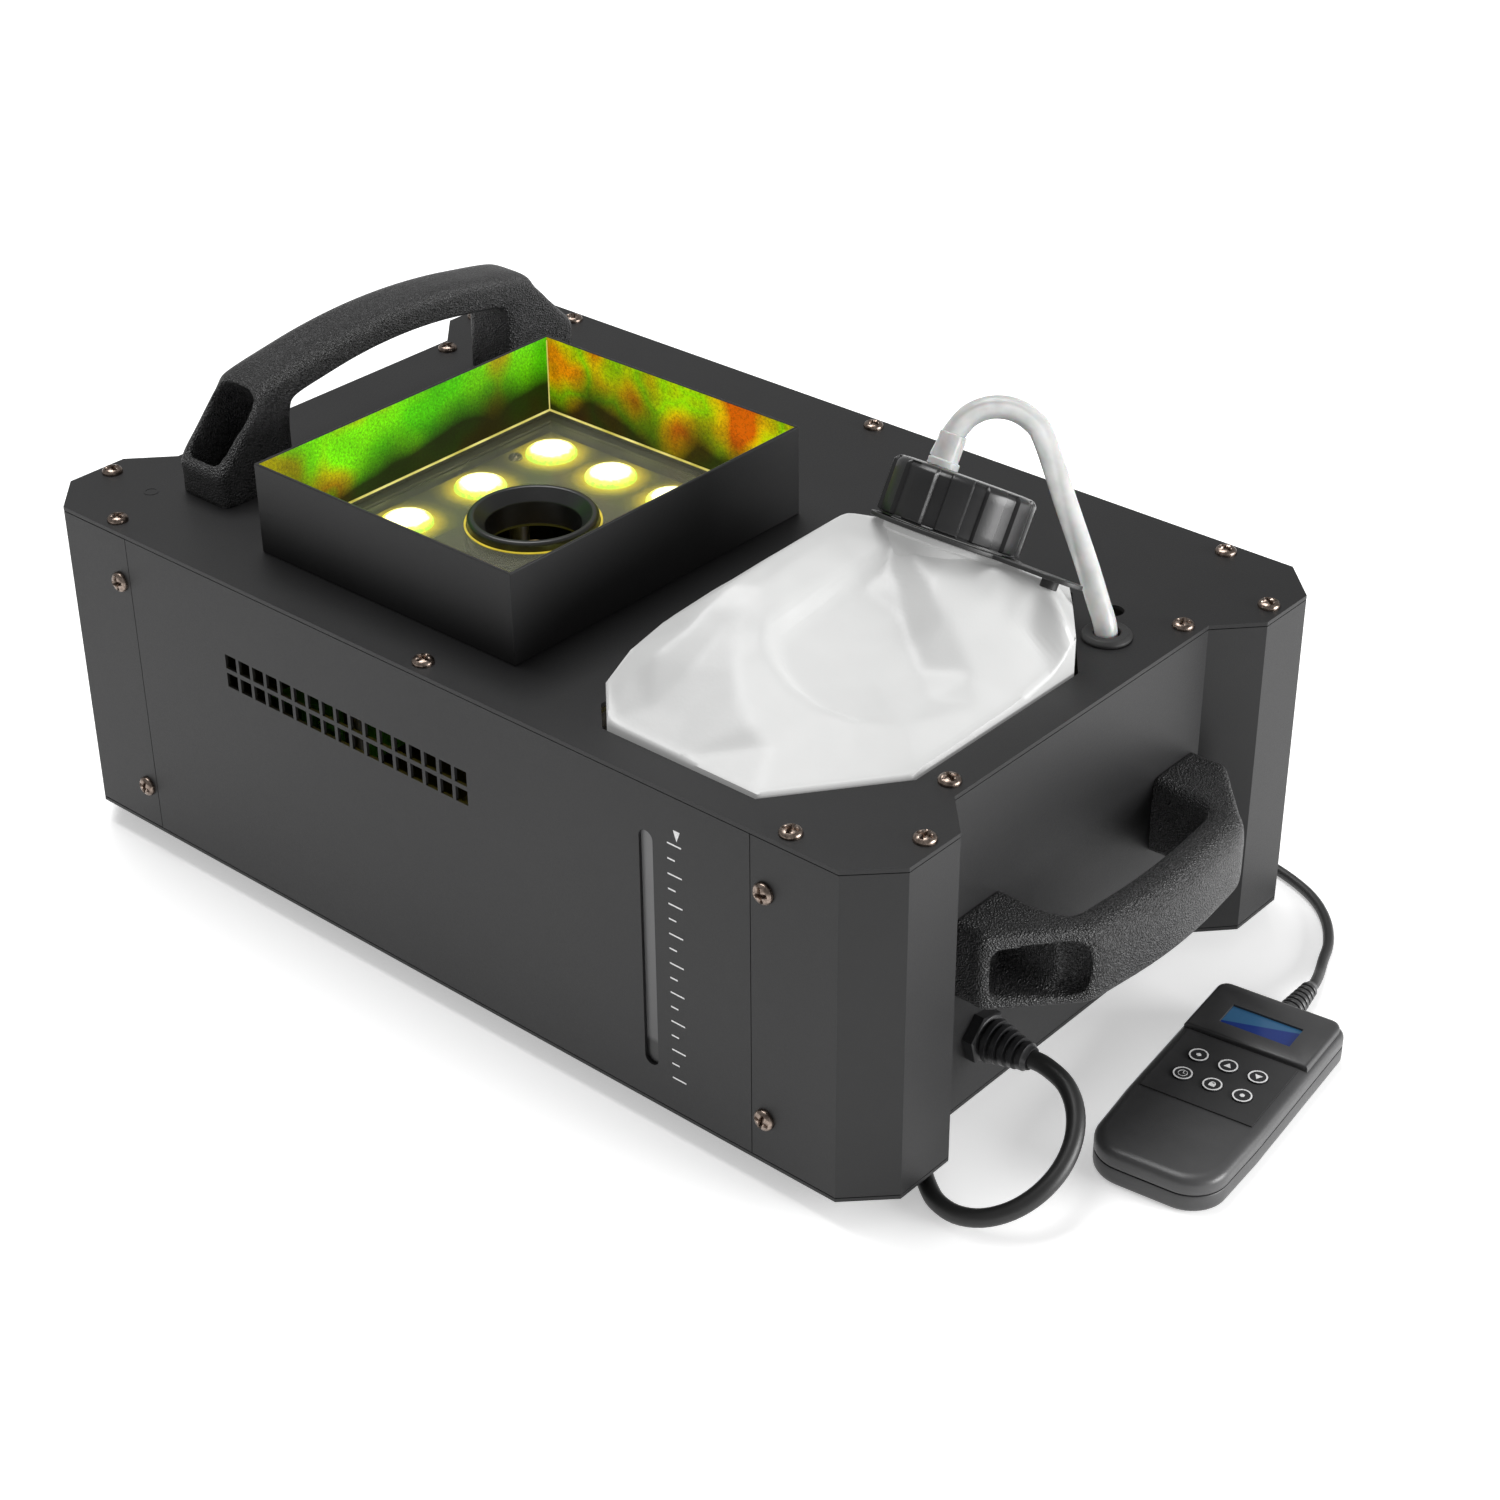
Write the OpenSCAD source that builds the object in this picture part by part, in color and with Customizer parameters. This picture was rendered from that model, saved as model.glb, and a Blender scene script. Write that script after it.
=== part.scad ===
// Fog machine with an upward nozzle, a ring of lights, a lift-out fluid bottle and a wired remote.
// Millimetres, +Z up, the floor at z = 0. X runs along the housing, towards the mains cord.
// The origin is under the middle of the housing and the remote taken together.

/* [Housing] */
// Length of the housing along X
body_l = 400; // [396:1:404]
// Width of the housing along Y
body_w = 252; // [250:1:256]
// Height of the sheet housing, feet not counted
body_h = 128; // [126:1:130]
// Height of the rubber feet
foot_h = 10; // [9:1:11]
// Thickness of the folded steel sheet
sheet_t = 1.2; // [1:0.1:1.5]
// Cut across each vertical corner
corner_cut = 15; // [12:1:18]
// Depth of the recess in each end
recess_d = 14; // [12:1:16]

/* [Light hood] */
// Outer length of the open hood along X
hood_l = 127; // [120:1:130]
// Outer width of the open hood along Y
hood_w = 147; // [140:1:150]
// Height of the hood above the top cover
hood_h = 35; // [30:1:40]
// Diameter of each light's lens
lens_d = 20; // [16:1:22]

/* [Handles] */
// Overall length of the handle on the top
top_handle_l = 185; // [180:1:188]
// Overall length of the handle on the end
end_handle_l = 138; // [134:1:140]
// Width of the handle on the top
handle_w = 25; // [22:1:27]

/* [Bottle] */
// Height that the bottle can be lifted out, used for the hose inside the housing
bottle_lift = 105; // [90:1:106]
// Tilt of the bottle's neck towards the back, in degrees
neck_tilt = 31; // [28:1:34]
// Outer diameter of the cap
cap_d = 51; // [50:1:52]
// Outer diameter of the fluid hose
hose_d = 8; // [7:0.5:8.5]

/* [Cords] */
// Diameter of the mains cord
mains_d = 6.4; // [6:0.2:6.6]
// Diameter of the remote's cord
remote_d = 4; // [3.5:0.1:4.2]

/* [Hidden] */
$fn = 48;

// Distance from the middle of the housing to the origin
origin_x = 37;
// Levels of the sheet housing
base_z = foot_h;
top_z = foot_h + body_h;
floor_t = 1.5;
cover_t = 1.5;
panel_z = base_z + floor_t + 0.3;
panel_h = body_h - floor_t - cover_t - 0.6;
half_l = body_l / 2;
half_w = body_w / 2;
// Width of a corner column's end face, and the slope into the recess
column_w = 25;
recess_slope = 15;
// Half length of the flat front and back panels
seam_x = 150;
panel_half = seam_x - 0.3;
// Where an inset outline meets the sloping side of the recess, per millimetre of inset
slope_shift = 0.4;

// Screws
head_r = 4;
head_h = 2.4;
shank_r = 1.9;
screw_hole_r = 2.1;
cover_screws = [[194, 96], [179.5, 65], [161, 119.8]];
side_screw_x = 155.5;
side_screw_z = [28.5, 117];

// Feet
foot_at = [177, 98];
foot_r = 11;

// Front panel: two rows of square vents and the slot over the bottle
vent_first = [-98.8, 94];
vent_hole = 5.8;
vent_pitch_x = 7.33;
vent_pitch_z = 7.6;
vent_columns = 17;
slot_x = 106;
slot_w = 6;
slot_z = [26, 119];

// Light hood and what is under it
hood_c = [-38, -28.5];
hood_t = 1.2;
hood_lip = 5;
cover_hole = [116, 137];
led_span = [94, 114];
acrylic_t = 3;
acrylic_z = top_z + hood_t + 0.1;
board_z = top_z - 7;
board_t = 1.6;
post_at = [55, 45.5];
collar_r = 24;
collar_bore = 17.5;

// Bottle: the cut-out that it stands in, as corners of the top cover's opening
cut_out = [[64, -101], [75, -112], [140, -112], [171, -71], [171, 16], [137, 60], [75, 60], [64, 49]];
cut_centre = [117, -26];
bottle_gap = 1.5;
bottle_wall = 2;
bottle_z = 33.3;
shoulder_z = 136;
// Rounded corners of the bottle's top, from the left spine to the right shoulder
top_points = [[70, -86, 154], [84, -58, 167], [82, 6, 168], [99, 8, 168], [140, 16, 162],
  [165, 16, 157], [166, -30, 141], [136, -106, 137], [76, -104, 143], [70, 40, 145],
  [80, 54, 140], [135, 54, 140]];
top_round = 4;
neck_at = [112, 18, 165.4];
neck_r = 20;
neck_bore = 17;
fitting_x = -11;
fitting_top = 36;
grommet_at = [164, 42];
spare_hole = [155, 58.6];

// Route of the hose from the fitting to the grommet, and on down inside the housing
hose_route = [[101, 36.8, 196.8], [101.4, 41, 204], [105.5, 44, 211], [114, 45, 214.5],
  [124, 45, 212], [133, 44.5, 204], [140, 44, 192], [147, 43, 177], [154, 42.5, 162],
  [160, 42, 151], [163.4, 42, 143], [164, 42, 135], [164, 42, 125], [164, 42, 112], [164, 42, 60],
  [164, 42, top_z - bottle_lift - 9]];

// Handles: middle of each, width on the end, and profile heights
top_handle_at = [-149.5, 3.5];
end_handle_z = 73;
end_handle_w = 28;

// Mains cord: gland, route over the floor and under the housing, coil and plug
gland_at = [-53, 36.4];
gland_l = 22;
mains_route = [[208, -53, 36.4], [214, -53, 36.2], [223, -54.8, 34.5], [230.6, -59.9, 31],
  [235.7, -67.5, 26.2], [237.5, -76.5, 20.8], [235.7, -85.5, 15.4], [230.6, -93, 10.4],
  [223, -98.2, 6.6], [214, -100, 4.3], [205, -98.2, 3.4], [198, -94, 3.3], [190, -87.4, 3.3],
  [180, -79, 3.3], [160, -63, 3.3], [130, -42, 3.3], [95, -18, 3.3], [60, 8, 3.3], [25, 38, 3.3],
  [-5, 70, 3.3], [-28, 104, 3.3], [-41, 140, 3.3], [-46, 165, 3.3], [-46.8, 184, 3.3]];
mains_coil_at = [-86, 184];
mains_ring = 36;
mains_tail = [[-86, 223.2, 16], [-100, 223, 15], [-114, 221.5, 14], [-128, 219, 14]];
plug_turn = 190;

// Remote: middle, turn and sizes, in its own frame with its cord end towards +Y
remote_at = [245.9, 1.7];
remote_turn = 7;
remote_l = 105;
remote_w = 49;
remote_seam = 7.5;
remote_face = 14;
screen_rise = 2;
screen_edge = 21.5;
shell_t = 1.8;
button_r = 3.5;
button_x = 11;
button_y = [8.5, -3.5];
remote_relief_l = 24;
remote_route = [[232.5, 83, 5.5], [231.5, 90, 3.6], [229, 99, 2.4], [224.5, 110, 2.1], [217, 121, 2],
  [207, 130, 2.1], [195, 136, 2.1], [180, 140, 2.1], [160, 142, 2.1], [140, 143, 2.1], [120, 144.5, 2],
  [100, 147, 2.1], [84, 149.5, 2.1], [70, 150, 2.1]];
remote_coil_at = [70, 176];
remote_ring = 22;
remote_tail = [[70, 202, 14], [52, 201, 13], [36, 196, 9], [22, 187, 5], [12, 176, 5],
  [6, 166, 11], [3, 160, 20], [2, 158, 30], [2, 155, 40], [2, 150, 45]];
socket_at = [2, 45];

// Moves housing coordinates to the part's own origin
module place() {
  translate([-origin_x, 0, 0]) children();
}

// Plan of the housing, moved inwards by a distance
function quarter(i) = [
  [half_l - i - recess_d, half_w - corner_cut - column_w - recess_slope + slope_shift * i],
  [half_l - i, half_w - corner_cut - column_w + slope_shift * i],
  [half_l - i, half_w - corner_cut - (1 - 0.586) * i],
  [half_l - corner_cut - (1 - 0.586) * i, half_w - i]];
function flip(points, sx, sy) = [for (p = points) [p[0] * sx, p[1] * sy]];
function reversed(list) = [for (k = [len(list) - 1 : -1 : 0]) list[k]];
function outline(i) = concat(quarter(i), reversed(flip(quarter(i), -1, 1)),
  flip(quarter(i), -1, -1), reversed(flip(quarter(i), 1, -1)));

// Plan of the bottle's cut-out, moved inwards by a distance along each axis
function cut_plan(i) = [for (p = cut_out)
  [p[0] - i * side_of(p[0], cut_centre[0], 54), p[1] - i * side_of(p[1], cut_centre[1], 86)]];
function side_of(v, middle, half) = (v - middle) / half;

// Arc of points around a centre
function arc(c, r, from, to, n) =
  [for (k = [0 : n]) c + r * [cos(from + (to - from) * k / n), sin(from + (to - from) * k / n)]];

// Smooth curve through a list of points
function curve(p, u) = let (
    k = min(floor(u), len(p) - 2),
    t = u - k,
    a = p[max(k - 1, 0)],
    b = p[k],
    c = p[k + 1],
    d = p[min(k + 2, len(p) - 1)])
  0.5 * (2 * b + (c - a) * t + (2 * a - 5 * b + 4 * c - d) * t * t + (3 * b - a - 3 * c + d) * t * t * t);
function unit(v) = v / norm(v);

// Round tube of one closed skin along a route; side is a direction that the route never takes
module tube(route, r, sides, per, side) {
  n = (len(route) - 1) * per;
  path = [for (k = [0 : n]) curve(route, k / per)];
  ring = [for (k = [0 : n])
    let (
      t = unit(path[min(k + 1, n)] - path[max(k - 1, 0)]),
      u = unit(cross(t, side)),
      v = cross(u, t))
    for (s = [0 : sides - 1]) path[k] + r * (cos(360 * s / sides) * u + sin(360 * s / sides) * v)];
  skin = [for (k = [0 : n - 1]) for (s = [0 : sides - 1])
    [k * sides + s, k * sides + (s + 1) % sides, (k + 1) * sides + (s + 1) % sides, (k + 1) * sides + s]];
  first = [for (s = [sides - 1 : -1 : 0]) s];
  last = [for (s = [0 : sides - 1]) n * sides + s];
  polyhedron(points = ring, faces = concat(skin, [first, last]));
}

// Pan-head screw, its head's underside at z = 0
module screw(l) {
  rotate_extrude() polygon([[0, -l], [shank_r, -l], [shank_r, 0], [head_r, 0], [head_r, 0.9],
    [head_r - 0.9, 1.9], [head_r - 2, head_h], [0, head_h]]);
}

module at_cover_screws() {
  for (p = cover_screws, sx = [-1, 1], sy = [-1, 1]) translate([sx * p[0], sy * p[1], top_z]) children();
  for (sy = [-1, 1]) translate([0, sy * cover_screws[2][1], top_z]) children();
}

module at_side_screws(side) {
  for (sx = [-1, 1], z = side_screw_z)
    translate([sx * side_screw_x, side * half_w, z]) rotate([-side * 90, 0, 0]) children();
}

module at_feet() {
  for (sx = [-1, 1], sy = [-1, 1]) translate([sx * foot_at[0], sy * foot_at[1], 0]) children();
}

// Bottom plate with an upturned flange inside the walls
module base_tray() {
  color("#1c1c1e") place() difference() {
    union() {
      translate([0, 0, base_z]) linear_extrude(floor_t) polygon(outline(0));
      translate([0, 0, base_z]) linear_extrude(14) difference() {
        polygon(outline(2.7));
        polygon(outline(2.7 + sheet_t));
      }
    }
    at_feet() translate([0, 0, base_z - 1]) cylinder(r = screw_hole_r, h = 5);
    for (sx = [-1, 1], k = [0 : 5]) translate([sx * 90 - 25 + k * 10, 75, base_z - 1]) cube([4, 30, 5]);
  }
}

module rubber_feet() {
  color("#111111") place() at_feet() difference() {
    union() {
      cylinder(r1 = foot_r - 1, r2 = foot_r, h = 2);
      translate([0, 0, 2]) cylinder(r = foot_r, h = foot_h - 2);
    }
    translate([0, 0, -1]) cylinder(r = 5, h = 6);
    translate([0, 0, -1]) cylinder(r = screw_hole_r, h = foot_h + 2);
  }
}

// Flat long panel with stepped tabs that the end shells screw to; side is -1 for the front
module long_panel(side) {
  y0 = side * half_w;
  step = -side * sheet_t;
  translate([-panel_half, min(y0, y0 + step), panel_z]) cube([2 * panel_half, sheet_t, panel_h]);
  for (sx = [-1, 1]) translate([sx * (seam_x + 1) - 13, min(y0 + step, y0 + 2 * step), panel_z + 2])
    cube([26, sheet_t, panel_h - 4]);
}

module front_panel() {
  color("#2b2b2d") place() difference() {
    long_panel(-1);
    for (c = [0 : vent_columns - 1], r = [0, 1])
      translate([vent_first[0] + c * vent_pitch_x, -half_w - 1, vent_first[1] + r * vent_pitch_z])
        cube([vent_hole, 5, vent_hole]);
    translate([slot_x - slot_w / 2, -half_w - 1, slot_z[0] + slot_w / 2])
      cube([slot_w, 5, slot_z[1] - slot_z[0] - slot_w]);
    for (z = [slot_z[0] + slot_w / 2, slot_z[1] - slot_w / 2])
      translate([slot_x, -half_w - 1, z]) rotate([-90, 0, 0]) cylinder(r = slot_w / 2, h = 5);
    at_side_screws(-1) translate([0, 0, -6]) cylinder(r = screw_hole_r, h = 8);
  }
}

// Opening for the power rocker, and its place on the back
rocker_at = [-100, 62];
rocker_hole = [27, 21];

module back_panel() {
  color("#2b2b2d") place() difference() {
    long_panel(1);
    for (c = [0 : vent_columns - 1], r = [0, 1])
      translate([-vent_first[0] - vent_hole - c * vent_pitch_x, half_w - 4, vent_first[1] + r * vent_pitch_z])
        cube([vent_hole, 5, vent_hole]);
    translate([rocker_at[0] - rocker_hole[0] / 2, half_w - 4, rocker_at[1] - rocker_hole[1] / 2])
      cube([rocker_hole[0], 5, rocker_hole[1]]);
    translate([socket_at[0], half_w - 4, socket_at[1]]) rotate([-90, 0, 0]) cylinder(r = 10.2, h = 5);
    at_side_screws(1) translate([0, 0, -6]) cylinder(r = screw_hole_r, h = 8);
  }
}

// End wall folded around both corner columns and the recess; side is -1 for the left
module end_shell(side) {
  difference() {
    translate([0, 0, panel_z]) linear_extrude(panel_h) difference() {
      polygon(outline(0));
      polygon(outline(sheet_t));
    }
    translate([side > 0 ? -half_l - 1 : -seam_x, -half_w - 1, 0])
      cube([half_l + seam_x + 1, body_w + 2, top_z]);
    at_side_screws(-1) translate([0, 0, -6]) cylinder(r = screw_hole_r, h = 8);
    at_side_screws(1) translate([0, 0, -6]) cylinder(r = screw_hole_r, h = 8);
    children();
  }
}

module left_end_shell() {
  color("#2b2b2d") place() end_shell(-1);
}

module right_end_shell() {
  wall_x = half_l - recess_d;
  color("#2b2b2d") place() end_shell(1) {
    translate([wall_x - 4, gland_at[0], gland_at[1]]) rotate([0, 90, 0]) cylinder(r = 6.1, h = 8);
    for (sy = [-1, 1]) translate([wall_x - 4, sy * (end_handle_l / 2 - 12), end_handle_z])
      rotate([0, 90, 0]) cylinder(r = screw_hole_r, h = 8);
  }
}

// Top plate with the bottle's cut-out, the light opening and a turned-down flange
module top_cover() {
  color("#2e2e30") place() difference() {
    union() {
      translate([0, 0, top_z - cover_t]) linear_extrude(cover_t) polygon(outline(0));
      translate([0, 0, top_z - 12]) linear_extrude(12) difference() {
        polygon(outline(2.7));
        polygon(outline(2.7 + sheet_t));
      }
    }
    translate([0, 0, top_z - 20]) linear_extrude(30) polygon(cut_out);
    translate([hood_c[0] - cover_hole[0] / 2, hood_c[1] - cover_hole[1] / 2, top_z - 5])
      cube([cover_hole[0], cover_hole[1], 10]);
    at_cover_screws() translate([0, 0, -5]) cylinder(r = screw_hole_r, h = 8);
    translate([grommet_at[0], grommet_at[1], top_z - 5]) cylinder(r = 6.5, h = 8);
    translate([spare_hole[0], spare_hole[1], top_z - 5]) cylinder(r = 4, h = 8);
    for (sy = [-1, 1])
      translate([top_handle_at[0], top_handle_at[1] + sy * (top_handle_l / 2 - 16), top_z - 5])
        cylinder(r = screw_hole_r, h = 8);
  }
}

module top_screws() {
  color("#b9a58c") place() at_cover_screws() screw(9);
}

module side_screws() {
  color("#b9a58c") place() {
    at_side_screws(-1) screw(9);
    at_side_screws(1) screw(9);
  }
}

// Handle profile: along = half length at the foot, gap = half the finger gap, others are heights
function arch(y, reach, low, rise) = low + rise * cos(90 * y / reach);
function grip_outer(along, shoulder, lip, low, rise) = concat([[-along, 0], [-along, lip]],
  [for (k = [-8 : 8]) [shoulder * k / 8, arch(shoulder * k / 8, shoulder, low, rise)]],
  [[along, lip], [along, 0]]);
function grip_gap(gap, under, rise, wave) = concat([[gap, -1], [gap, under * 0.75]],
  [for (k = [12 : -1 : -12]) let (y = (gap - 6) * k / 12)
    [y, arch(y, gap, under, rise) + wave * cos(360 * 4 * k / 24)]],
  [[-gap, under * 0.75], [-gap, -1]]);

// Carrying handle standing on z = 0 along Y, with hollow feet that open outwards
module grip(along, shoulder, gap, lip, low, rise, under, under_rise, w) {
  rim = 3.2;
  difference() {
    rotate([90, 0, 90]) translate([0, 0, -w / 2]) linear_extrude(w) difference() {
      polygon(grip_outer(along, shoulder, lip, low, rise));
      polygon(grip_gap(gap, under, under_rise, 0.6));
    }
    for (s = [-1, 1]) rotate([90, 0, 90]) translate([0, 0, rim - w / 2]) linear_extrude(w - 2 * rim)
      polygon([[s * (along + 5), lip], [s * (along - 3), lip], [s * (along - 3), 3.5], [s * (gap + 5), 3.5],
        [s * (gap + 3.5), low - 12], [s * (shoulder - 1), low - 3.5], [s * (shoulder + 12), low - 2]]);
    for (s = [-1, 1]) translate([0, s * (along - (along > 80 ? 16 : 12)), -1])
      cylinder(r = screw_hole_r, h = 8);
  }
}

module top_handle() {
  color("#232325") place() translate([top_handle_at[0], top_handle_at[1], top_z])
    grip(top_handle_l / 2, 68, 57, 14, 41, 8.5, 31, 5.5, handle_w);
}

module end_handle() {
  color("#232325") place() translate([half_l - recess_d, 0, end_handle_z]) rotate([0, 90, 0])
    grip(end_handle_l / 2, 50, 43, 13, 38, 4, 25, 2, end_handle_w);
}

module handle_screws() {
  seat = 3.5;
  color("#8f8f92") place() {
    for (sy = [-1, 1])
      translate([top_handle_at[0], top_handle_at[1] + sy * (top_handle_l / 2 - 16), top_z + seat])
        screw(12);
    for (sy = [-1, 1]) translate([half_l - recess_d + seat, sy * (end_handle_l / 2 - 12), end_handle_z])
      rotate([0, 90, 0]) screw(12);
  }
}

// Rectangle in plan around the middle of the hood
module hood_plan(l, w) {
  translate([hood_c[0] - l / 2, hood_c[1] - w / 2]) square([l, w]);
}

module light_hood() {
  color("#1f1f21") place() {
    translate([0, 0, top_z]) linear_extrude(hood_h) difference() {
      hood_plan(hood_l, hood_w);
      hood_plan(hood_l - 2 * hood_t, hood_w - 2 * hood_t);
    }
    translate([0, 0, top_z]) linear_extrude(hood_t) difference() {
      hood_plan(hood_l - 1, hood_w - 1);
      hood_plan(hood_l - 2 * hood_lip, hood_w - 2 * hood_lip);
    }
  }
}

module acrylic_cover() {
  color("#dcdca0", 0.4) place() difference() {
    translate([0, 0, acrylic_z]) linear_extrude(acrylic_t)
      hood_plan(hood_l - 2 * hood_t - 0.6, hood_w - 2 * hood_t - 0.6);
    translate([hood_c[0], hood_c[1], acrylic_z - 1]) cylinder(r = collar_r + 0.4, h = 6);
  }
}

// The twelve places of the lights, on the sides of a rectangle
module at_lights() {
  for (i = [0 : 3], j = [0 : 3]) if (i == 0 || i == 3 || j == 0 || j == 3)
    translate([hood_c[0] + led_span[0] * (i / 3 - 0.5), hood_c[1] + led_span[1] * (j / 3 - 0.5),
      board_z + board_t]) children();
}

module at_posts() {
  for (sx = [-1, 1], sy = [-1, 1]) translate([hood_c[0] + sx * post_at[0], hood_c[1] + sy * post_at[1], 0])
    children();
}

module led_board() {
  color("#3a3a34") place() difference() {
    translate([0, 0, board_z]) linear_extrude(board_t) hood_plan(hood_l - 5, hood_w - 5);
    translate([hood_c[0], hood_c[1], board_z - 1]) cylinder(r = 19, h = 5);
    at_posts() translate([0, 0, board_z - 1]) cylinder(r = 1.7, h = 5);
  }
}

module led_lenses() {
  color("#fff3c0") place() at_lights() {
    cylinder(r1 = lens_d / 2 - 2, r2 = lens_d / 2, h = 4.5);
    translate([0, 0, 4.5]) cylinder(r = lens_d / 2, h = 1.2);
  }
}

module light_posts() {
  color("#9a9a9c") place() at_posts() translate([0, 0, base_z + floor_t]) difference() {
    cylinder(r = 4, h = board_z - base_z - floor_t);
    translate([0, 0, board_z - base_z - floor_t - 12]) cylinder(r = 1.6, h = 13);
  }
}

module light_screws() {
  color("#b9b9bb") place() at_posts() translate([0, 0, board_z + board_t]) {
    cylinder(r = 2.8, h = 1.6);
    translate([0, 0, -8]) cylinder(r = 1.5, h = 8);
  }
}

module nozzle_collar() {
  color("#141414") place() translate([hood_c[0], hood_c[1], board_z + board_t]) rotate_extrude()
    polygon([[collar_bore, 0], [collar_r + 1.5, 0], [collar_r + 1.5, 3], [collar_r, 3], [collar_r, 12.4],
      [collar_r - 1, 13.4], [collar_r - 2.5, 13.4], [collar_bore, 9]]);
}

heater_r = 30;
heater_z = [34, 110];

module nozzle() {
  color("#b08d57") place() translate([hood_c[0], hood_c[1], heater_z[1]]) difference() {
    union() {
      cylinder(r = 10, h = 8, $fn = 6);
      translate([0, 0, 8]) cylinder(r = 7, h = 10);
      translate([0, 0, 18]) cylinder(r1 = 7, r2 = 4, h = 5);
      translate([0, 0, -10]) cylinder(r = 4.9, h = 10);
    }
    translate([0, 0, -11]) cylinder(r = 1.2, h = 40);
  }
}

module heater_block() {
  color("#a9a9ab") place() translate([hood_c[0], hood_c[1], 0]) difference() {
    union() {
      translate([0, 0, heater_z[0]]) cylinder(r = heater_r - 4, h = heater_z[1] - heater_z[0]);
      for (k = [0 : 6]) translate([0, 0, heater_z[0] + 4 + k * 10]) cylinder(r = heater_r, h = 5);
    }
    translate([0, 0, heater_z[1] - 12]) cylinder(r = 5, h = 13);
    translate([0, 0, heater_z[1] - 40]) cylinder(r = 1.5, h = 40);
    translate([0, 0, 50]) rotate([90, 0, 135]) cylinder(r = 2.6, h = 40);
  }
}

module heater_stand() {
  color("#8d8d90") place() translate([hood_c[0], hood_c[1], base_z + floor_t]) difference() {
    union() {
      cylinder(r = heater_r - 2, h = heater_z[0] - base_z - floor_t);
      cylinder(r = heater_r + 8, h = 2);
    }
    translate([0, 0, -1]) cylinder(r = heater_r - 4, h = 40);
    for (a = [0 : 60 : 300]) rotate(a) translate([0, -4, 6]) cube([40, 8, 12]);
  }
}

module thermostat() {
  color("#d8d4c8") place() translate([hood_c[0] + 19, hood_c[1], heater_z[1]]) {
    cylinder(r = 7.5, h = 3);
    translate([0, 0, 3]) cylinder(r = 6, h = 7);
    for (s = [-1, 1]) translate([s * 3 - 1.5, -0.4, 10]) cube([3, 0.8, 6]);
  }
}

// Piston pump: a body with a bore along Z, a square coil around it, a plunger and its spring
pump_at = [45, 72];
pump_bore = 6.05;
pump_z = [32, 72];

module pump_body() {
  color("#e7e2d4") place() translate([pump_at[0], pump_at[1], 0]) difference() {
    union() {
      translate([-17, -17, base_z + floor_t]) cube([34, 34, 3]);
      translate([0, 0, base_z + floor_t + 3]) cylinder(r = 9, h = 64);
      translate([0, 0, 78]) cylinder(r = 3.4, h = 6);
    }
    translate([0, 0, pump_z[0]]) cylinder(r = pump_bore, h = pump_z[1] - pump_z[0]);
    translate([0, 0, pump_z[0] - 10]) cylinder(r = 1.5, h = 70);
    translate([0, 0, pump_z[0] - 10]) rotate([90, 0, 0]) cylinder(r = 1.5, h = 14);
  }
}

module pump_coil() {
  color("#b5542a") place() translate([pump_at[0], pump_at[1], 38]) difference() {
    translate([-16, -16, 0]) cube([32, 32, 30]);
    translate([0, 0, -1]) cylinder(r = 9.2, h = 32);
  }
}

module pump_plunger() {
  color("#c9c9cc") place() translate([pump_at[0], pump_at[1], 44.2]) difference() {
    cylinder(r = 6, h = 22);
    translate([0, 0, -1]) cylinder(r = 1.5, h = 24);
  }
}

module pump_spring() {
  color("#dcdcde") place() translate([pump_at[0], pump_at[1], pump_z[0]]) difference() {
    cylinder(r = 5.4, h = 12);
    translate([0, 0, -1]) cylinder(r = 4.4, h = 14);
  }
}

module delivery_tube() {
  color("#b8733f") place() tube([[45, 72, 84.3], [45, 72, 91], [41, 67, 97], [33, 57, 99], [24, 45, 96],
    [16, 34.5, 89], [8.5, 24.5, 80], [1, 14.5, 70], [-6, 5.5, 61], [-12, -1.5, 54], [-17, -7, 50.6],
    [-22.5, -13, 50]], 2, 8, 2, [1, -0.8, 0]);
}

module feed_tube() {
  color("#e9e9e6") place() tube([[164, 47, 16], [160, 56, 16], [150, 65, 16], [130, 69, 17], [100, 70, 20],
    [80, 71, 22], [66, 72, 22], [54.3, 72, 22]], 2.5, 8, 3, [0, 0, 1]);
}

// Sheet tray that carries the bottle, as high as the dark band in the slot
module bottle_cradle() {
  rail_h = 24.5;
  color("#1b1b1d") place() translate([0, 0, base_z + floor_t]) difference() {
    linear_extrude(rail_h) polygon(cut_plan(-1.5));
    translate([0, 0, rail_h - 3]) linear_extrude(10) polygon(cut_plan(0.4));
    translate([0, 0, -1]) linear_extrude(rail_h - 3.5) polygon(cut_plan(0.4));
  }
}

// Rotates into the neck's own frame, with z = 0 at the foot of the cap
module at_neck() {
  translate(neck_at) rotate([-neck_tilt, 0, 0]) children();
}

module fluid_bottle() {
  color("#f4f4f2") place() difference() {
    union() {
      hull() {
        translate([0, 0, bottle_z + 4]) linear_extrude(shoulder_z - bottle_z - 4)
          polygon(cut_plan(bottle_gap));
        translate([0, 0, bottle_z]) linear_extrude(1) polygon(cut_plan(bottle_gap + 4));
        for (p = top_points) translate(p) sphere(r = top_round, $fn = 16);
      }
      at_neck() translate([0, 0, -12]) cylinder(r = neck_r, h = 30.5);
      at_neck() translate([0, 0, 4]) cylinder(r = neck_r + 0.35, h = 1.6);
    }
    hull() {
      translate([0, 0, bottle_z + 4]) linear_extrude(shoulder_z - bottle_z - 4)
        polygon(cut_plan(bottle_gap + bottle_wall));
      translate([0, 0, bottle_z + 2]) linear_extrude(1) polygon(cut_plan(bottle_gap + 5));
      for (p = top_points) translate(p) sphere(r = top_round - bottle_wall, $fn = 16);
    }
    at_neck() translate([0, 0, -16]) cylinder(r = neck_bore, h = 50);
  }
}

cap_skirt_r = 21;
cap_lip_r = 18.2;
cap_h = 24;

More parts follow.
